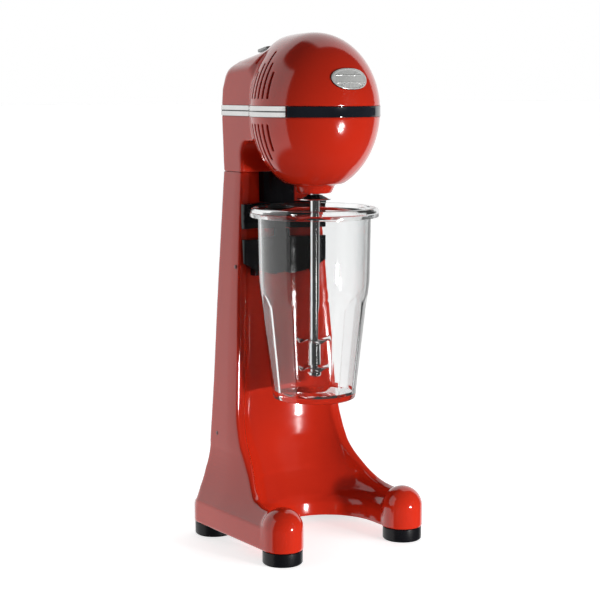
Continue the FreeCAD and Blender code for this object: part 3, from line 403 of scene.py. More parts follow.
SPINDLE_STEEL = plain_finish("polished_spindle_steel", (0.84, 0.84, 0.84), (0.92, 0.92, 0.92), 1, 0.16, 0.26,
                             grain=500, depth=0.00003, strength=0.25, stretch=(1, 1, 8))
PADDLE_METAL = plain_finish("satin_switch_metal", (0.30, 0.31, 0.31), (0.40, 0.40, 0.40), 0.6, 0.25, 0.4,
                            grain=700, depth=0.00004, strength=0.3)
STEEL = plain_finish("brushed_steel", (0.50, 0.50, 0.49), (0.60, 0.60, 0.59), 1, 0.22, 0.36,
                     grain=420, depth=0.00006, strength=0.4, stretch=(8, 1, 1))
SILVER = plain_finish("silver_trim_foil", (0.66, 0.66, 0.65), (0.76, 0.76, 0.75), 1, 0.16, 0.27,
                      grain=500, depth=0.00003, strength=0.25, stretch=(1, 1, 12))
COPPER = plain_finish("enamelled_copper", (0.55, 0.20, 0.07), (0.70, 0.30, 0.11), 1, 0.2, 0.4,
                      grain=900, depth=0.0004, strength=0.8, stretch=(1, 1, 6))
CORE = plain_finish("laminated_core_steel", (0.22, 0.22, 0.23), (0.34, 0.34, 0.35), 1, 0.3, 0.5,
                    grain=900, depth=0.0004, strength=0.8, stretch=(0.1, 0.1, 6))
INNER = plain_finish("grey_inner_plastic", (0.10, 0.10, 0.10), (0.16, 0.16, 0.15), 0, 0.35, 0.5)


def clear_finish():
    """Clear moulded plastic: nearly white, with faint wipe marks and moulding flow, and grey painted in
    where it is seen edge-on as a painted reflection of the dark studio.
    """
    finish = Finish("clear_cup_plastic")
    finish.set(IOR=1.5, Transmission_Weight=1.0, Specular_IOR_Level=0.5)
    clean = finish.mixed(finish.spread(finish.noise(14, 3), 0.3, 0.7, 0, 1),
                         (0.955, 0.965, 0.965), (0.99, 0.99, 0.99))
    # painted reflection: the colour turns grey where the cup is seen edge-on, standing for the dark studio
    # mirrored in it
    painted_edge_reflection = finish.node("ShaderNodeLayerWeight", Blend=0.5).outputs["Facing"]
    finish.colour(finish.mixed(finish.spread(painted_edge_reflection, 0.35, 1.0, 0, 1), clean, (0.45, 0.48, 0.49)))
    finish.rough(finish.noise(30, 5, (1, 1, 0.4)), 0.0, 0.045)
    finish.bump(finish.noise(40, 2, (1, 1, 0.3)), 0.04, 0.001)
    return finish.material


CLEAR = clear_finish()

# ------------------------------ the stand

CREST_Z = 28
ARCH_BACK = 16
# the lip of the hollow front, seen from the side, from the column's top down to the toes
LIP_EDGE = [(44, 360), (43.8, 348), (42.3, 310), (38.6, 240), (34.6, 180), (32.8, 150), (30.2, 119),
            (25.3, 101), (19.4, 88), (11.4, 77.4), (1, 67.6), (-8.8, 58.8), (-20, 51.2), (-31, 48.2),
            (-43, 47.6), (-55, 48.5)]
# half the width at each height, from the crease up to the column's top
SIDE_EDGE = [(86.5, 36), (81.7, 41.3), (77.6, 46.5), (74.3, 51.8), (71.4, 57.1), (69.1, 62.4), (67.2, 67.6),
             (65.7, 72.9), (64.6, 78.2), (63.8, 83.5), (63.4, 94), (59.4, 147), (54.7, 226), (50, 294),
             (COLUMN_HALF, COLUMN_TOP)]
LIP_THICK = 8.5
PLUG_PLACES = [(62.9, 97.2), (45.6, 260.4)]
# the opening behind the rear cover and the cord gland's hole, which both run back from their Y
WINDOW_HALF, WINDOW_TALL_HALF, WINDOW_Z, WINDOW_Y = 36, 135, 199, 71
GLAND_X, GLAND_Z, GLAND_RADIUS, GLAND_Y = -52, 26, 11.3, 76.8


def edge_half(height):
    """Half the stand's width at a height above the crease."""
    return np.interp(height, [z for _, z in SIDE_EDGE], [x for x, _ in SIDE_EDGE])


# above the crest the hollow's floor bends up to a slightly leaning line
FLOOR_Y, FLOOR_LEAN, FLOOR_BEND, BEND_RISE = 50.2, 0.022, 34.2, 34


def hollow_floor():
    """The hollow's floor along its middle, seen from the side, from the toes up."""
    points = [(-150, 17), (-60, 17), (-20, 18.6), (-2, 21.6), (8, 24.4)]
    for rise in (0, 3, 6, 10, 15, 21, 28, 36, 46, 60, 80, 110, 150, 200, 260, 340, 372):
        bend = FLOOR_BEND * math.exp(-rise / BEND_RISE)
        points.append((FLOOR_Y + FLOOR_LEAN * rise - bend, CREST_Z + rise))
    return points


def stand_field(axes):
    """The column, its forked foot and its hollow front, as a shell that is open below."""
    x, y, z = np.meshgrid(*axes, indexing="ij", sparse=True)
    skirt = FOOT_X + TOE_RADIUS
    edge = smooth_curve(SIDE_EDGE + [(COLUMN_HALF - 0.6, COLUMN_TOP + 10)], 6)
    side_points = [(-FAR, SKIRT_LOW - 20), (skirt, SKIRT_LOW - 20), (skirt, SKIRT_TOP), (skirt - 0.5, 34.8)]
    side_points += edge + [(-FAR, COLUMN_TOP + 10)]
    side = polygon_field(side_points, np.abs(axes[0]), axes[2])[:, None, :]
    heel = FOOT_Y + TOE_RADIUS
    back_line = [(-FAR, -50), (heel, -50), (heel, SKIRT_TOP), (heel - 0.5, 34.6), (COLUMN_BACK, 35.2),
                 (COLUMN_BACK, 400), (-FAR, 400)]
    back = polygon_field(back_line, axes[1], axes[2])[None]
    corner = np.interp(axes[2], [0, 34, 45, 61, 94, COLUMN_TOP],
                       [TOE_RADIUS, TOE_RADIUS, 9.5, 3.5, 3, REAR_ROUND])
    body = both(side, back, corner[None, None, :])
    lip_outline = smooth_curve(LIP_EDGE, 8)
    lip_outline += [(-FOOT_Y - 6, 49), (-FOOT_Y - 6, -50), (FAR, -50), (FAR, 360)]
    body = both(body, polygon_field(lip_outline, axes[1], axes[2])[None], 3.6)
    # the hollow front: a round-bottomed channel in each section across the lip, down to its floor
    lip_depth = np.maximum(-polygon_field(lip_outline, axes[1], axes[2]), 0)
    above_floor = -polygon_field(hollow_floor() + [(-150, 400)], axes[1], axes[2])
    share = np.clip(lip_depth / np.maximum(lip_depth + above_floor, 6), 0, 2.5)[None]
    edge_x, edge_z = zip(*edge[:-1])
    half = np.interp(axes[2], edge_z, edge_x) - LIP_THICK
    channel = (x / half[None, None, :]) ** 2 + share ** 1.5 - 1
    body = without(body, evened(channel, axes), 3.4)
    body = both(body, -FOOT_Y - y + 0 * x)
    # the arch between the toes, which are round and domed
    radius = FOOT_X - TOE_RADIUS
    round_y = ARCH_BACK - radius
    arch = np.where(y > round_y, np.hypot(x, y - round_y), np.abs(x)) - radius
    body = without(body, arch + 0 * z, np.interp(axes[2], [26, 34, 56], [5, 8, 22])[None, None, :])
    toe_z = np.maximum(z - (TOE_TOP - TOE_RADIUS), 0)
    toe = np.sqrt((np.abs(x) - FOOT_X) ** 2 + (y + FOOT_Y) ** 2 + toe_z ** 2) - TOE_RADIUS
    body = np.maximum(either(body, toe, 1.6), np.abs(x) - skirt)
    inner = both(body + WALL, z - (COLUMN_TOP - WALL) + 0 * x)
    body = both(body, z - COLUMN_TOP, 0.6)
    body = both(body, SKIRT_LOW - z, 0.6)
    shell = without(body, inner)
    window = np.maximum(np.abs(x) - WINDOW_HALF, np.abs(z - WINDOW_Z) - WINDOW_TALL_HALF)
    window = np.maximum(window, WINDOW_Y - y)
    shell = without(shell, window)
    gland = np.maximum(np.hypot(x - GLAND_X, z - GLAND_Z) - GLAND_RADIUS, GLAND_Y - y)
    return without(shell, gland)


def spaced(low, high, step):
    """Even grid lines about so far apart."""
    return np.linspace(low, high, int(round((high - low) / step)) + 1)


axes = (spaced(-90.7, 90.7, 1.3), spaced(-80.7, 80.7, 1.3), spaced(SKIRT_LOW - 2.1, COLUMN_TOP + 2.1, 1.3))
show(new_object("stand_moulding", *surface_net(stand_field(axes), axes)), "stand", RED, "red_gloss",
     "stand_shell")

# ------------------------------ the head

VENT_FIRST_Y = 7
VENT_PITCH = 6.9
VENT_RADIUS = 1.05
VENT_X = 15
# each vent starts so far from the band's middle and reaches so far
VENT_START = 11.5
VENT_REACH = [35.5, 43.5, 54, 43.5, 35.5]
GROOVE_DEPTH = 1.2
BAND_HALF = 5
BOX_INSIDE_BALL = 12
# the opening in the box's top for the switch
SWITCH_X_HALF, SWITCH_Y_HALF, SWITCH_Y, SWITCH_Z = 14, 9, 50, 440


def head_axes(low, high):
    """Grid lines for the head, close together across the vents."""
    before = spaced(-75, -22.6, 1.1)
    vents = spaced(-22.2, 9.2, 0.45)
    after = spaced(10, 79.2, 1.1)
    return spaced(-63.8, 63.8, 1.1), np.concatenate([before, vents, after]), spaced(low, high, 0.9)


def vent_field(axes, direction):
    """Upright slots with round ends in both sides of the ball."""
    x, y, z = np.meshgrid(*axes, indexing="ij", sparse=True)
    slots = None
    for number, reach in enumerate(VENT_REACH):
        place = VENT_FIRST_Y - VENT_PITCH * number
        middle = BAND_Z + direction * (VENT_START + reach) / 2
        half = (reach - VENT_START) / 2 - 1
        slot = np.hypot(y - place, np.maximum(np.abs(z - middle) - half, 0)) - VENT_RADIUS
        slots = slot if slots is None else np.minimum(slots, slot)
    return np.maximum(slots, VENT_X - np.abs(x))


def groove_field(axes):
    """The shallow seat of the trim band, round the whole head."""
    x, y, z = np.meshgrid(*axes, indexing="ij", sparse=True)
    circle = both(np.hypot(x, y - AXIS_Y) - BALL_RADIUS, y - BALL_BACK, 3)
    box = both(np.abs(x) - BOX_HALF, y - COLUMN_BACK, REAR_ROUND)
    box = np.maximum(box, BALL_BACK - BOX_INSIDE_BALL - y)
    outline = np.minimum(circle, box) + GROOVE_DEPTH
    return np.maximum(-outline, np.abs(z - BAND_Z) - BAND_HALF)


def box_profile(axes):
    """The box behind the ball, seen from the side, with its rounded top at the back."""
    arc = smooth_curve([(77, 438), (76, 446), (72.3, 452.2), (66, 455.8), (57, 457.6)], 6)
    points = [(10, 395), (77, 395)] + arc + [(20, 465.2), (10, 467)]
    return polygon_field(points, axes[1], axes[2])[None]


def upper_field(axes):
    """The head above the band: the ball's upper half and the box behind it."""
    x, y, z = np.meshgrid(*axes, indexing="ij", sparse=True)
    back = np.maximum(y - AXIS_Y, 0)
    half = np.sqrt(np.maximum(BALL_RADIUS ** 2 - back ** 2, 400))
    rise = BALL_UP * (1 - 0.028 * (back / BALL_BEHIND) ** 2)
    front = np.minimum(y - AXIS_Y, 0) / BALL_RADIUS
    level = np.maximum(z - BAND_Z, -20)
    ball = np.sqrt((x / half) ** 2 + front ** 2 + (level / rise) ** 2) - 1
    ball = evened(ball * BALL_RADIUS, axes)
    ball = both(ball, y - BALL_BACK, 4.5)
    sides = both(np.abs(x) - BOX_HALF, y - COLUMN_BACK, REAR_ROUND)
    shoulder = np.interp(axes[2], [410, 428, 440, 452], [REAR_ROUND, 6, 13, 24])
    box = both(sides, box_profile(axes), shoulder[None, None])
    return either(ball, np.maximum(box, BALL_BACK - BOX_INSIDE_BALL - y), 1.4)


def hollowed(outer, axes, direction, low, high):
    """A shell of the outer form, cut level at both ends, with its vents and the band's seat."""
    x, y, z = np.meshgrid(*axes, indexing="ij", sparse=True)
    body = without(outer, outer + WALL)
    body = without(body, groove_field(axes))
    body = without(body, vent_field(axes, direction), 0.35)
    body = both(body, low - z + 0 * x, 0.4)
    return both(body, z - high + 0 * x, 0.4)


axes = head_axes(BAND_Z - 3, BAND_Z + BALL_UP + 2.3)
field = hollowed(upper_field(axes), axes, 1, BAND_Z + 0.05, 600)
x, y, z = np.meshgrid(*axes, indexing="ij", sparse=True)
opening = np.maximum(np.abs(x) - SWITCH_X_HALF, np.abs(y - SWITCH_Y) - SWITCH_Y_HALF)
field = without(field, np.maximum(opening, SWITCH_Z - z))
show(new_object("head_cap_moulding", *surface_net(field, axes)), "stand", RED, "red_gloss",
     "head_upper_shell")


def lower_field(axes):
    """The head below the band: the ball's lower half with its collar, and the neck behind it."""
    x, y, z = np.meshgrid(*axes, indexing="ij", sparse=True)
    level = np.minimum(z - BAND_Z, 20)
    radial = np.hypot(x, y - AXIS_Y)
    ball = np.hypot(radial / BALL_RADIUS, level / BALL_DOWN) - 1
    ball = evened(ball * BALL_RADIUS, axes)
    ball = both(ball, y - BALL_BACK, 4.2)
    ball = both(ball, BOWL_LOW - z, 1.5)
    # the collar is worked out in one upright plane and read off at each distance from the axis
    collar_x = axes[0][axes[0] >= 0]
    collar = polygon_field([(-50, NOSE_LOW), (15.6, NOSE_LOW), (16.6, 333.6), (20.3, 342), (20.3, 350),
                            (-50, 350)], collar_x, axes[2])
    spot = np.clip(np.searchsorted(collar_x, radial[..., 0]), 1, len(collar_x) - 1)
    low_x, high_x = collar_x[spot - 1], collar_x[spot]
    share = ((radial[..., 0] - low_x) / (high_x - low_x))[..., None]
    collar = collar[spot - 1] * (1 - share) + collar[spot] * share
    ball = either(ball, collar, 2.2)
    half = COLUMN_HALF + (z - COLUMN_TOP) * (BOX_HALF - COLUMN_HALF) / (BAND_Z - COLUMN_TOP)
    sides = both(np.abs(x) - half, y - COLUMN_BACK, REAR_ROUND)
    arc = smooth_curve([(43.7, 362), (43.4, 369), (41, 375.2), (36.6, 378.7), (31, 379.6)], 6)
    outline = [(77.5, 415), (77.5, COLUMN_TOP - 9), (43.7, COLUMN_TOP - 9)] + arc
    outline += [(10, 379.6), (10, 415)]
    neck = both(sides, polygon_field(outline, axes[1], axes[2])[None], 3.2)
    return either(ball, neck, 1.4)


NECK_Y = 40
NECK_GAP = 0.15
SHAFT_HOLE = 12
axes = head_axes(NOSE_LOW - 2.3, BAND_Z + 3)
outer = lower_field(axes)
field = hollowed(outer, axes, -1, -100, BAND_Z - 0.05)
x, y, z = np.meshgrid(*axes, indexing="ij", sparse=True)
below_neck = np.maximum(COLUMN_TOP - 30 - z, z - COLUMN_TOP - NECK_GAP)
field = without(field, np.maximum(below_neck, NECK_Y - y + 0 * x))
# the deck closes the neck just above the column
deck = np.maximum(np.maximum(outer + 0.4, z - COLUMN_TOP - WALL),
                  np.maximum(COLUMN_TOP + NECK_GAP - z, NECK_Y - y))
field = either(field, deck)
field = without(field, np.hypot(x, y - AXIS_Y) - SHAFT_HOLE + np.maximum(z - 346, 0) * 5)
show(new_object("head_bowl_moulding", *surface_net(field, axes)), "stand", RED, "red_gloss",
     "head_lower_shell")

# ------------------------------ turned and swept pieces


def rounded(points, radius, steps=4):
    """A closed outline with its corners rounded, as far as its sides allow."""
    points = [np.array(point, float) for point in points]
    result = []
    for index, point in enumerate(points):
        before, after = points[index - 1], points[(index + 1) % len(points)]
        to_before, to_after = before - point, after - point
        length_before, length_after = np.linalg.norm(to_before), np.linalg.norm(to_after)
        to_before, to_after = to_before / length_before, to_after / length_after
        cosine = np.clip(to_before @ to_after, -1, 1)
        if cosine < -0.985:
            result.append(point)
            continue
        half_angle = math.acos(cosine) / 2
        reach = min(radius / math.tan(half_angle), 0.45 * length_before, 0.45 * length_after)
        start, end = point + to_before * reach, point + to_after * reach
        for step in range(steps + 1):
            t = step / steps
            result.append((1 - t) ** 2 * start + 2 * t * (1 - t) * point + t ** 2 * end)
    return result


def turned(name, profile, centre=(0.0, AXIS_Y), segments=96, radius=0.4, wave=None, sharp=40):
    """A piece turned about an upright axis from a closed (radius, height) outline."""
    centre_x, centre_y = centre
    points, rows = [], []
    for r, height in rounded(profile, radius):
        if r < 1e-6:
            row = [len(points)] * segments
            points.append((centre_x, centre_y, height))
        else:
            row = []
            for step in range(segments):
                angle = 2 * math.pi * step / segments
                reach, rise = wave(r, height, angle) if wave else (r, height)
                row.append(len(points))
                points.append((centre_x + reach * math.cos(angle), centre_y + reach * math.sin(angle), rise))
        rows.append(row)
    faces = []
    for lower, upper in zip(rows, rows[1:] + rows[:1]):
        for step in range(segments):
            after = (step + 1) % segments
            face = [lower[step], lower[after], upper[after], upper[step]]
            face = [index for place, index in enumerate(face) if index not in face[:place]]
            if len(face) > 2:
                faces.append(face)
    return recalculated(new_object(name, points, faces), sharp)


BALL_STEPS = 240
SIDE_STEPS = 11
CORNER_STEPS = 16
BACK_STEPS = 24


def band_outline(offset):
    """The head's outline at the band, clockwise seen from above, from the right where ball meets box."""
    radius = BALL_RADIUS + offset
    half = BOX_HALF + offset
    back = COLUMN_BACK + offset
    meet = math.acos(half / radius)
    points = []
    for step in range(BALL_STEPS + 1):
        angle = meet - (2 * meet + math.pi) * step / BALL_STEPS
        points.append((radius * math.cos(angle), AXIS_Y + radius * math.sin(angle)))
    side_start = points[-1][1]
    corner = REAR_ROUND + offset
    corner_x, corner_y = half - corner, back - corner
    for step in range(1, SIDE_STEPS + 1):
        points.append((-half, side_start + (corner_y - side_start) * step / SIDE_STEPS))
    for step in range(1, CORNER_STEPS + 1):
        angle = math.pi - math.pi / 2 * step / CORNER_STEPS
        points.append((-corner_x + corner * math.cos(angle), corner_y + corner * math.sin(angle)))
    for step in range(1, BACK_STEPS):
        points.append((-corner_x + 2 * corner_x * step / BACK_STEPS, back))
    for step in range(CORNER_STEPS + 1):
        angle = math.pi / 2 - math.pi / 2 * step / CORNER_STEPS
        points.append((corner_x + corner * math.cos(angle), corner_y + corner * math.sin(angle)))
    for step in range(1, SIDE_STEPS):
        points.append((half, corner_y + (points[0][1] - corner_y) * step / SIDE_STEPS))
    return np.array(points)


def swept(name, path_inner, path_outer, profile):
    """A strip along an open path: the profile's first number runs from the inner to the outer path."""
    points, faces = [], []
    count = len(profile)
    for inner, outer in zip(path_inner, path_outer):
        for share, height in profile:
            spot = inner + (outer - inner) * share
            points.append((spot[0], spot[1], height))
    rings = len(path_inner)
    for ring in range(rings - 1):
        start, after = ring * count, (ring + 1) * count
        for step in range(count):
            following = (step + 1) % count
            faces.append([start + step, start + following, after + following, after + step])
    faces.append(list(range(count))[::-1])
    faces.append([(rings - 1) * count + step for step in range(count)])
    return recalculated(new_object(name, points, faces))


# the band is black for so many degrees to each side of the front
BLACK_ANGLE = 60
BAND_GAP = 0.1
BAND_PROUD = 0.5
inner_path = band_outline(BAND_GAP - GROOVE_DEPTH)
outer_path = band_outline(BAND_PROUD)
low, high = BAND_Z - BAND_HALF + BAND_GAP, BAND_Z + BAND_HALF - BAND_GAP
from_front = np.degrees(np.arctan2(outer_path[:, 0], AXIS_Y - outer_path[:, 1]))
is_front = np.abs(from_front) < BLACK_ANGLE
front_rows = np.flatnonzero(is_front)
rest_rows = np.concatenate([np.arange(front_rows[-1] + 1, len(outer_path)), np.arange(0, front_rows[0])])

silver_profile = rounded([(0, low), (1, low), (1, BAND_Z - 0.6), (0.72, BAND_Z - 0.45),
                          (0.72, BAND_Z + 0.45), (1, BAND_Z + 0.6), (1, high), (0, high)], 0.25, 2)
silver = swept("silver_trim", inner_path[rest_rows], outer_path[rest_rows], silver_profile)
show(silver, "stand", SILVER, "silver_trim", "trim_band_rear")
silver.data.materials.append(GLOSS_BLACK)
# the thin groove along the silver band is black
following_points = silver_profile[1:] + silver_profile[:1]
in_groove = [abs(a[1] + b[1] - 2 * BAND_Z) < 1 for a, b in zip(silver_profile, following_points)]
strip_faces = len(in_groove) * (len(rest_rows) - 1)
for polygon in silver.data.polygons:
    if polygon.index < strip_faces and in_groove[polygon.index % len(in_groove)]:
        polygon.material_index = 1
black_profile = rounded([(0, low), (1, low), (1, low + 0.7), (0.86, low + 1), (0.86, high - 1),
                         (1, high - 0.7), (1, high), (0, high)], 0.25, 2)
black_band = swept("black_trim", inner_path[front_rows], outer_path[front_rows], black_profile)
show(black_band, "stand", GLOSS_BLACK, "black_plastic", "trim_band_front")

# ------------------------------ badge

badge_low, badge_high = corners("badge_plate")
BADGE_Z = (badge_low[2] + badge_high[2]) / 2
BADGE_HALF = badge_high[0] - 1
BADGE_TALL = (badge_high[2] - badge_low[2]) / 2
BADGE_RINGS = 30
BADGE_SPOKES = 144


def ball_front(x, height):
    """The place on the ball's surface behind a point seen from the front, and its normal there."""
    level = (height - BAND_Z) / BALL_UP
    forward = math.sqrt(max(1 - level ** 2 - (x / BALL_RADIUS) ** 2, 0))
    normal = np.array([x / BALL_RADIUS, -forward, level * BALL_RADIUS / BALL_UP])
    return np.array([x, AXIS_Y - BALL_RADIUS * forward, height]), normal / np.linalg.norm(normal)


def badge_relief(across, up, edge):
    """The badge's height: a raised rim, a ribbon across it and shallow rays behind."""
    if edge > 0.86:
        return 1.5 - 6 * max(edge - 0.93, 0)
    if abs(up) < 0.36:
        border = 1 if abs(up) > 0.29 else 0
        return 1.25 + 0.35 * border - 0.12 * (math.sin(across * 46) > 0.2)
    rays = math.sin(12 * math.atan2(up, across) + 3)
    return 0.55 + 0.22 * (rays > 0)


def badge_mesh():
    """The badge's points and faces: every BADGE_RINGS faces make one spoke, with its rim last."""
    rings, spokes = BADGE_RINGS, BADGE_SPOKES
    points, faces = [], []
    centre, normal = ball_front(0, BADGE_Z)
    points.append(centre + normal * badge_relief(0, 0, 0))
    for ring in range(1, rings + 1):
        edge = ring / rings
        for spoke in range(spokes):
            angle = 2 * math.pi * spoke / spokes
            across = edge * math.copysign(abs(math.cos(angle)) ** 0.8, math.cos(angle))
            up = edge * math.sin(angle)
            spot, normal = ball_front(BADGE_HALF * across, BADGE_Z + BADGE_TALL * up)
            height = badge_relief(across, up, edge) if ring < rings else -0.3
            points.append(spot + normal * height)
    for spoke in range(spokes):
        after = (spoke + 1) % spokes
        faces.append([0, 1 + after, 1 + spoke])
        for ring in range(rings - 1):
            base, outer = 1 + ring * spokes, 1 + (ring + 1) * spokes
            faces.append([base + spoke, base + after, outer + after, outer + spoke])
    faces.append([1 + (rings - 1) * spokes + spoke for spoke in range(spokes)])
    return points, faces


badge = recalculated(new_object("badge", *badge_mesh()), 25)
show(badge, "stand", BADGE_METAL, "chrome", "badge_plate", "badge_field")
badge.data.materials.append(BLACK)
for polygon in badge.data.polygons:
    on_rim = polygon.index % BADGE_RINGS == BADGE_RINGS - 1
    if on_rim and polygon.index < BADGE_RINGS * BADGE_SPOKES:
        polygon.material_index = 1

# ------------------------------ feet

for end in ("front", "rear"):
    for side in ("left", "right"):
        node = "foot_%s_%s" % (end, side)
        low, high = corners(node)
        middle = (low + high) / 2
        radius = (high[0] - low[0]) / 2
        outline = [(4.4, 0.3), (radius - 3.2, 0.3), (radius - 2.6, 0), (radius - 0.9, 0), (radius, 1.2),
                   (radius, 11.9), (radius - 0.8, 12.7), (14, 12.7), (14, 13.6), (2.3, 13.6), (2.3, 6),
                   (4.4, 6)]
        foot = turned(node + "_rubber", outline, (middle[0], middle[1]), radius=0.5)
        show(foot, "stand", RUBBER, "black_rubber", node)

# ------------------------------ side plugs

PLUG_RINGS = [(1.9, -0.5), (1.9, 0.1), (1.6, 0.3), (0.9, 0.4)]
PLUG_STEPS = 24


def plug_domes():
    """Four small domes on the stand's sides, from their (radius, height) rings."""
    points, faces = [], []
    for plug_y, plug_z in PLUG_PLACES:
        for sign in (-1, 1):
            first = len(points)
            for radius, rise in PLUG_RINGS:
                for step in range(PLUG_STEPS):
                    angle = 2 * math.pi * step / PLUG_STEPS
                    up = radius * math.sin(angle)
                    points.append((sign * (edge_half(plug_z + up) + rise), plug_y + radius * math.cos(angle),
                                   plug_z + up))
            points.append((sign * (edge_half(plug_z) + 0.42), plug_y, plug_z))
            points.append((sign * (edge_half(plug_z) - 0.5), plug_y, plug_z))
            for step in range(PLUG_STEPS):
                after = (step + 1) % PLUG_STEPS
                for ring in range(len(PLUG_RINGS) - 1):
                    low_ring = first + PLUG_STEPS * ring
                    high_ring = low_ring + PLUG_STEPS
                    faces.append([low_ring + step, low_ring + after, high_ring + after, high_ring + step])
                faces.append([high_ring + step, high_ring + after, len(points) - 2])
                faces.append([first + after, first + step, len(points) - 1])
    return points, faces


plugs = recalculated(new_object("plug_domes", *plug_domes()))
show(plugs, "stand", DARK_RED, "black_plastic", "side_plugs")

# ------------------------------ cup

CUP_FLOOR = cup_low[2]
RIM_TOP = cup_high[2]
RIM_RADIUS = cup_high[0]
FLUTES = 12
FLUTE_TOP = 238
FLUTE_ARCH = 9
FLUTE_DEPTH = 1.1
CUP_WALL = 2.6


def cup_outer(height):
    """The cup's outer radius at a height, before its flutes."""
    return np.interp(height, [137.5, 250, 310, 320], [39.3, 52, 53, 53])


def fluted(r, height, angle):
    """Presses each flute into both faces of the cup's wall, fading out at an arched top."""
    if height > FLUTE_TOP + 2 or height < CUP_FLOOR + 1 or r < cup_outer(height) - 3:
        return r, height
    across = (angle * FLUTES / (2 * math.pi)) % 1 - 0.5
    hump = 1 - (across / 0.5) ** 2
    arch = FLUTE_TOP - FLUTE_ARCH * (1 - hump)
    depth = hump * FLUTE_DEPTH
    fade = min(max((arch - height) / 6, 0), 1) * min(max((height - CUP_FLOOR - 1.5) / 9, 0), 1)
    return r - depth * fade, height


def cup_outline():
    """The cup's section, with close rows where the flutes end."""
    heights = [146, 150, 156, 164, 172, 180, 188, 196, 204, 210, 216, 220, 223, 226, 228, 230, 232, 234, 235,
               236, 237, 238, 239, 240, 243, 250, 262, 280, 300, 309]
    outer = [(cup_outer(142), 142)] + [(cup_outer(height), height) for height in heights]
    inner = [(50.2, 312)] + [(cup_outer(height) - CUP_WALL, height) for height in heights[::-1]]
    inner += [(35.2, 143), (30, 142)]
    bottom = [(0, 142), (0, 139.4), (14, 139.2), (30, 138.6), (31.5, CUP_FLOOR), (36.8, CUP_FLOOR),
              (38.9, 138.8)]
    rim = [(53.2, 311.6), (56.6, 314.4), (58.5, 313.8), (58.8, 310.4), (59.3, 310), (60.3, 310.2),
           (RIM_RADIUS, 312), (RIM_RADIUS - 0.1, 316.6), (59.3, 318.5), (56.5, RIM_TOP), (52.6, 318.8),
           (50.8, 316.2)]
    return bottom + outer + rim + inner


cup = turned("cup_clear", cup_outline(), segments=288, radius=0.5, wave=fluted, sharp=50)
show(cup, "cup_body", CLEAR, "clear_cup", "cup")
cup.visible_glossy = False

# ------------------------------ spindle and agitators

nut_low, nut_high = corners("spindle_nut")
spindle_radius = spindle_high[0]
spindle_top = spindle_high[2] - 0.3

shaft = turned("spindle_tube", [(0, spindle_low[2]), (3.9, spindle_low[2]), (spindle_radius, 161),
                                (spindle_radius, 332), (spindle_radius, spindle_top), (0, spindle_top)],
               segments=64, radius=0.3)
show(shaft, "rotor", SPINDLE_STEEL, "chrome", "spindle_shaft")

splash_radius = corners("splash_disc")[1][0]
splash = turned("splash_guard", [(spindle_radius + 0.05, 330.5), (spindle_radius + 0.05, 326.6),
                                 (6.2, 326.3), (8, 328.2), (splash_radius - 2, 326.2),
                                 (splash_radius - 0.6, 325.7), (splash_radius, 326.1),
                                 (splash_radius - 0.5, 326.9), (splash_radius - 2.4, 327.4), (8.2, 329.4),
                                 (6.2, 330.5)], segments=96, radius=0.35)
show(splash, "rotor", CHROME, "chrome", "splash_disc")


HUB_RADIUS = 6
WAVES = 5
WAVE_RISE = 2.1
WAVE_DRAW = 0.035


def waved(node, name):
    """A pressed disc whose edge rises and falls, with a flat hub, at a CAD node's place."""
    node_low, node_high = corners(node)
    middle_z, radius = (node_low[2] + node_high[2]) / 2 - 0.5, node_high[0]

    def wave(r, height, angle):
        share = max(0, (r - HUB_RADIUS) / (radius - HUB_RADIUS))
        rise = WAVE_RISE * share ** 1.5 * math.cos(WAVES * angle)
        return r * (1 - WAVE_DRAW * share * (1 - math.cos(WAVES * angle))), height + rise

    outline = [(spindle_radius + 0.1, middle_z - 0.1), (7, middle_z - 0.1), (10, middle_z),
               (13, middle_z + 0.05), (radius - 0.3, middle_z + 0.1), (radius, middle_z + 0.55),
               (radius - 0.3, middle_z + 1), (13, middle_z + 1), (10, middle_z + 1), (7, middle_z + 1.4),
               (spindle_radius + 0.1, middle_z + 1.4)]
    piece = turned(name, outline, segments=160, radius=0.2, wave=wave)
    show(piece, "rotor", SPINDLE_STEEL, "chrome", node)


waved("agitator_upper", "whisk_disc_upper")
waved("agitator_lower", "whisk_disc_lower")
nut = turned("spindle_cap", [(0, nut_low[2]), (3.6, nut_low[2] + 0.2), (5.6, nut_low[2] + 1.8),
                             (6.2, nut_low[2] + 3), (6.2, nut_high[2] - 0.4), (5.4, nut_high[2] - 0.05),
                             (4.6, nut_high[2] - 0.05), (4.6, 160), (0, 160)], segments=48, radius=0.4)
show(nut, "rotor", SPINDLE_STEEL, "chrome", "spindle_nut")

# ------------------------------ the rest of the CAD nodes

FINISHES = {
    "base_plate": STEEL, "foot_screws": STEEL, "rear_cover": RED, "cover_screws": STEEL,
    "cord_gland": RUBBER, "terminal_block": INNER,
    "switch_bezel": BLACK, "switch_paddle": PADDLE_METAL,
    "holder_bracket": BLACK, "holder_cradle": BLACK, "switch_housing": BLACK, "cup_lever": BLACK,
    "lever_pin": STEEL, "lever_spring": STEEL, "microswitch_button": INNER, "microswitch": BLACK,
    "agitator_sleeve": SPINDLE_STEEL, "nose_seal": RUBBER, "shaft_coupling": STEEL, "motor_shaft": STEEL,
    "cooling_fan": INNER, "bearing_lower": STEEL, "bearing_upper": STEEL, "motor_bracket_lower": STEEL,
    "motor_bracket_upper": STEEL, "stator_core": CORE, "field_coils": COPPER, "armature_core": CORE,
    "armature_coils": COPPER, "commutator": COPPER, "carbon_brushes": BLACK, "brush_holders": INNER,
    "motor_grommets": RUBBER, "motor_screws": STEEL, "neck_screws": STEEL,
}
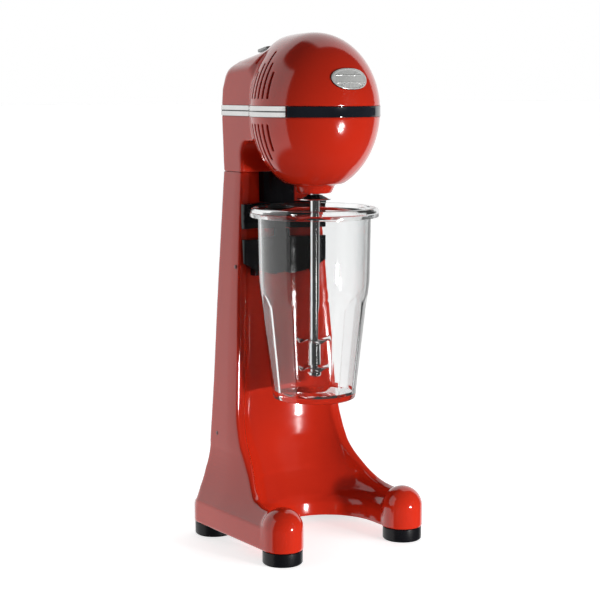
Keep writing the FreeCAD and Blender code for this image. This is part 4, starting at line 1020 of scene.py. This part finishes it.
# the width of each bevel
BEVELLED = {"rear_cover": 0.5, "holder_bracket": 0.4, "holder_cradle": 0.5, "switch_housing": 0.4,
            "cup_lever": 0.3, "switch_bezel": 0.3, "switch_paddle": 0.4, "base_plate": 0.3,
            "cover_screws": 0.25, "cord_gland": 0.3, "microswitch": 0.3, "terminal_block": 0.4}
for node, finish in FINISHES.items():
    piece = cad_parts[node]
    slots = piece.data.materials
    if not slots:
        slots.append(finish)
    for place in range(len(slots)):
        slots[place] = finish
    if node in BEVELLED:
        bevel = piece.modifiers.new("edge", "BEVEL")
        bevel.width = BEVELLED[node] * MM
        bevel.segments = 2
        bevel.limit_method = "ANGLE"
        bevel.angle_limit = math.radians(40)
        bevel.use_clamp_overlap = True

# ------------------------------ floor, light and camera

scene = bpy.context.scene
scene.view_settings.view_transform = "Standard"

# the floor and the lights are in metres; the floor ends in front of the object, where the studio is dark
FLOOR_REACH = 30.0
FLOOR_FRONT = -0.36
floor_mesh = bpy.data.meshes.new("floor")
floor_mesh.from_pydata([(-FLOOR_REACH, FLOOR_FRONT, 0), (FLOOR_REACH, FLOOR_FRONT, 0),
                        (FLOOR_REACH, FLOOR_REACH, 0), (-FLOOR_REACH, FLOOR_REACH, 0)], [], [(0, 1, 2, 3)])
floor = bpy.data.objects.new("floor", floor_mesh)
scene.collection.objects.link(floor)
paper = Finish("pale_paper")
paper.set(Roughness=0.9, Specular_IOR_Level=0.1, Emission_Color=(1, 1, 1, 1), Emission_Strength=0.66)
paper.colour(paper.mixed(paper.noise(2, 3), (0.86, 0.86, 0.86), (0.90, 0.90, 0.90)))
floor_mesh.materials.append(paper.material)
floor.visible_glossy = False


def studio_world():
    """White behind the object and dim in front of it, as a white backdrop in a dark studio."""
    world = bpy.data.worlds.new("studio")
    scene.world = world
    world.use_nodes = True
    tree = world.node_tree
    background = tree.nodes["Background"]
    place = tree.nodes.new("ShaderNodeTexCoord")
    split = tree.nodes.new("ShaderNodeSeparateXYZ")
    tree.links.new(place.outputs["Generated"], split.inputs["Vector"])
    across, away, up = split.outputs["X"], split.outputs["Y"], split.outputs["Z"]

    def ramp(value, start, end, low, high):
        """A value moved smoothly from one range to another."""
        node = tree.nodes.new("ShaderNodeMapRange")
        node.interpolation_type = "SMOOTHSTEP"
        limits = {"From Min": start, "From Max": end, "To Min": low, "To Max": high}
        for name, number in limits.items():
            node.inputs[name].default_value = number
        tree.links.new(value, node.inputs["Value"])
        return node.outputs["Result"]

    def maths(operation, first, second):
        node = tree.nodes.new("ShaderNodeMath")
        node.operation = operation
        for socket, value in zip(node.inputs, (first, second)):
            if isinstance(value, float):
                socket.default_value = value
            else:
                tree.links.new(value, socket)
        return node.outputs[0]

    # the backdrop stands square to the object, turned a little, with a dark gap above it on the left
    turned_y = maths("SUBTRACT", away, maths("MULTIPLY", across, 0.1))
    gap = maths("MULTIPLY", ramp(up, 0.70, 0.80, 0, 1), ramp(across, 0.05, 0.25, 1, 0))
    gap = maths("MULTIPLY", gap, ramp(away, 0.50, 0.62, 1, 0))
    backdrop = maths("MULTIPLY", ramp(turned_y, 0.0, 0.05, 0, 1), maths("SUBTRACT", 1.0, gap))
    # it is dark below the floor's level and a little dimmer near it
    backdrop = maths("MULTIPLY", backdrop, ramp(up, -0.72, -0.58, 0, 1))
    backdrop = maths("MULTIPLY", backdrop, ramp(up, -0.35, -0.08, 0.82, 1))
    strength = ramp(backdrop, 0, 1, 0.05, 1.0)
    # the camera sees plain white
    path = tree.nodes.new("ShaderNodeLightPath")
    strength = maths("MAXIMUM", strength, path.outputs["Is Camera Ray"])
    tree.links.new(strength, background.inputs["Strength"])
    background.inputs["Color"].default_value = (1, 1, 1, 1)


def soft_light(name, place, target, width, height, watts, gloss=True):
    """An area lamp at a place, turned to a target; without gloss, nothing reflects it."""
    light = bpy.data.lights.new(name, "AREA")
    light.shape = "RECTANGLE"
    light.size = width
    light.size_y = height
    light.energy = watts
    lamp = bpy.data.objects.new(name, light)
    lamp.location = place
    lamp.rotation_euler = (Vector(target) - Vector(place)).to_track_quat("-Z", "Y").to_euler()
    lamp.visible_camera = False
    lamp.visible_glossy = gloss
    scene.collection.objects.link(lamp)


studio_world()
soft_light("front_lamp", (0.2, -0.995, 0.08), (0, 0, 0.25), 0.08, 0.1, 9)
soft_light("fill_lamp", (0.9, -1.6, 0.7), (0, 0, 0.22), 0.9, 0.9, 16, False)

camera_data = bpy.data.cameras.new("camera")
camera_data.sensor_width = 36
camera_data.lens = 93.6
camera = bpy.data.objects.new("camera", camera_data)
camera.location = (-0.841, -1.202, 0.432)
camera.rotation_euler = Vector((0.5637, 0.8143, -0.1366)).to_track_quat("-Z", "Y").to_euler()
scene.collection.objects.link(camera)
scene.camera = camera
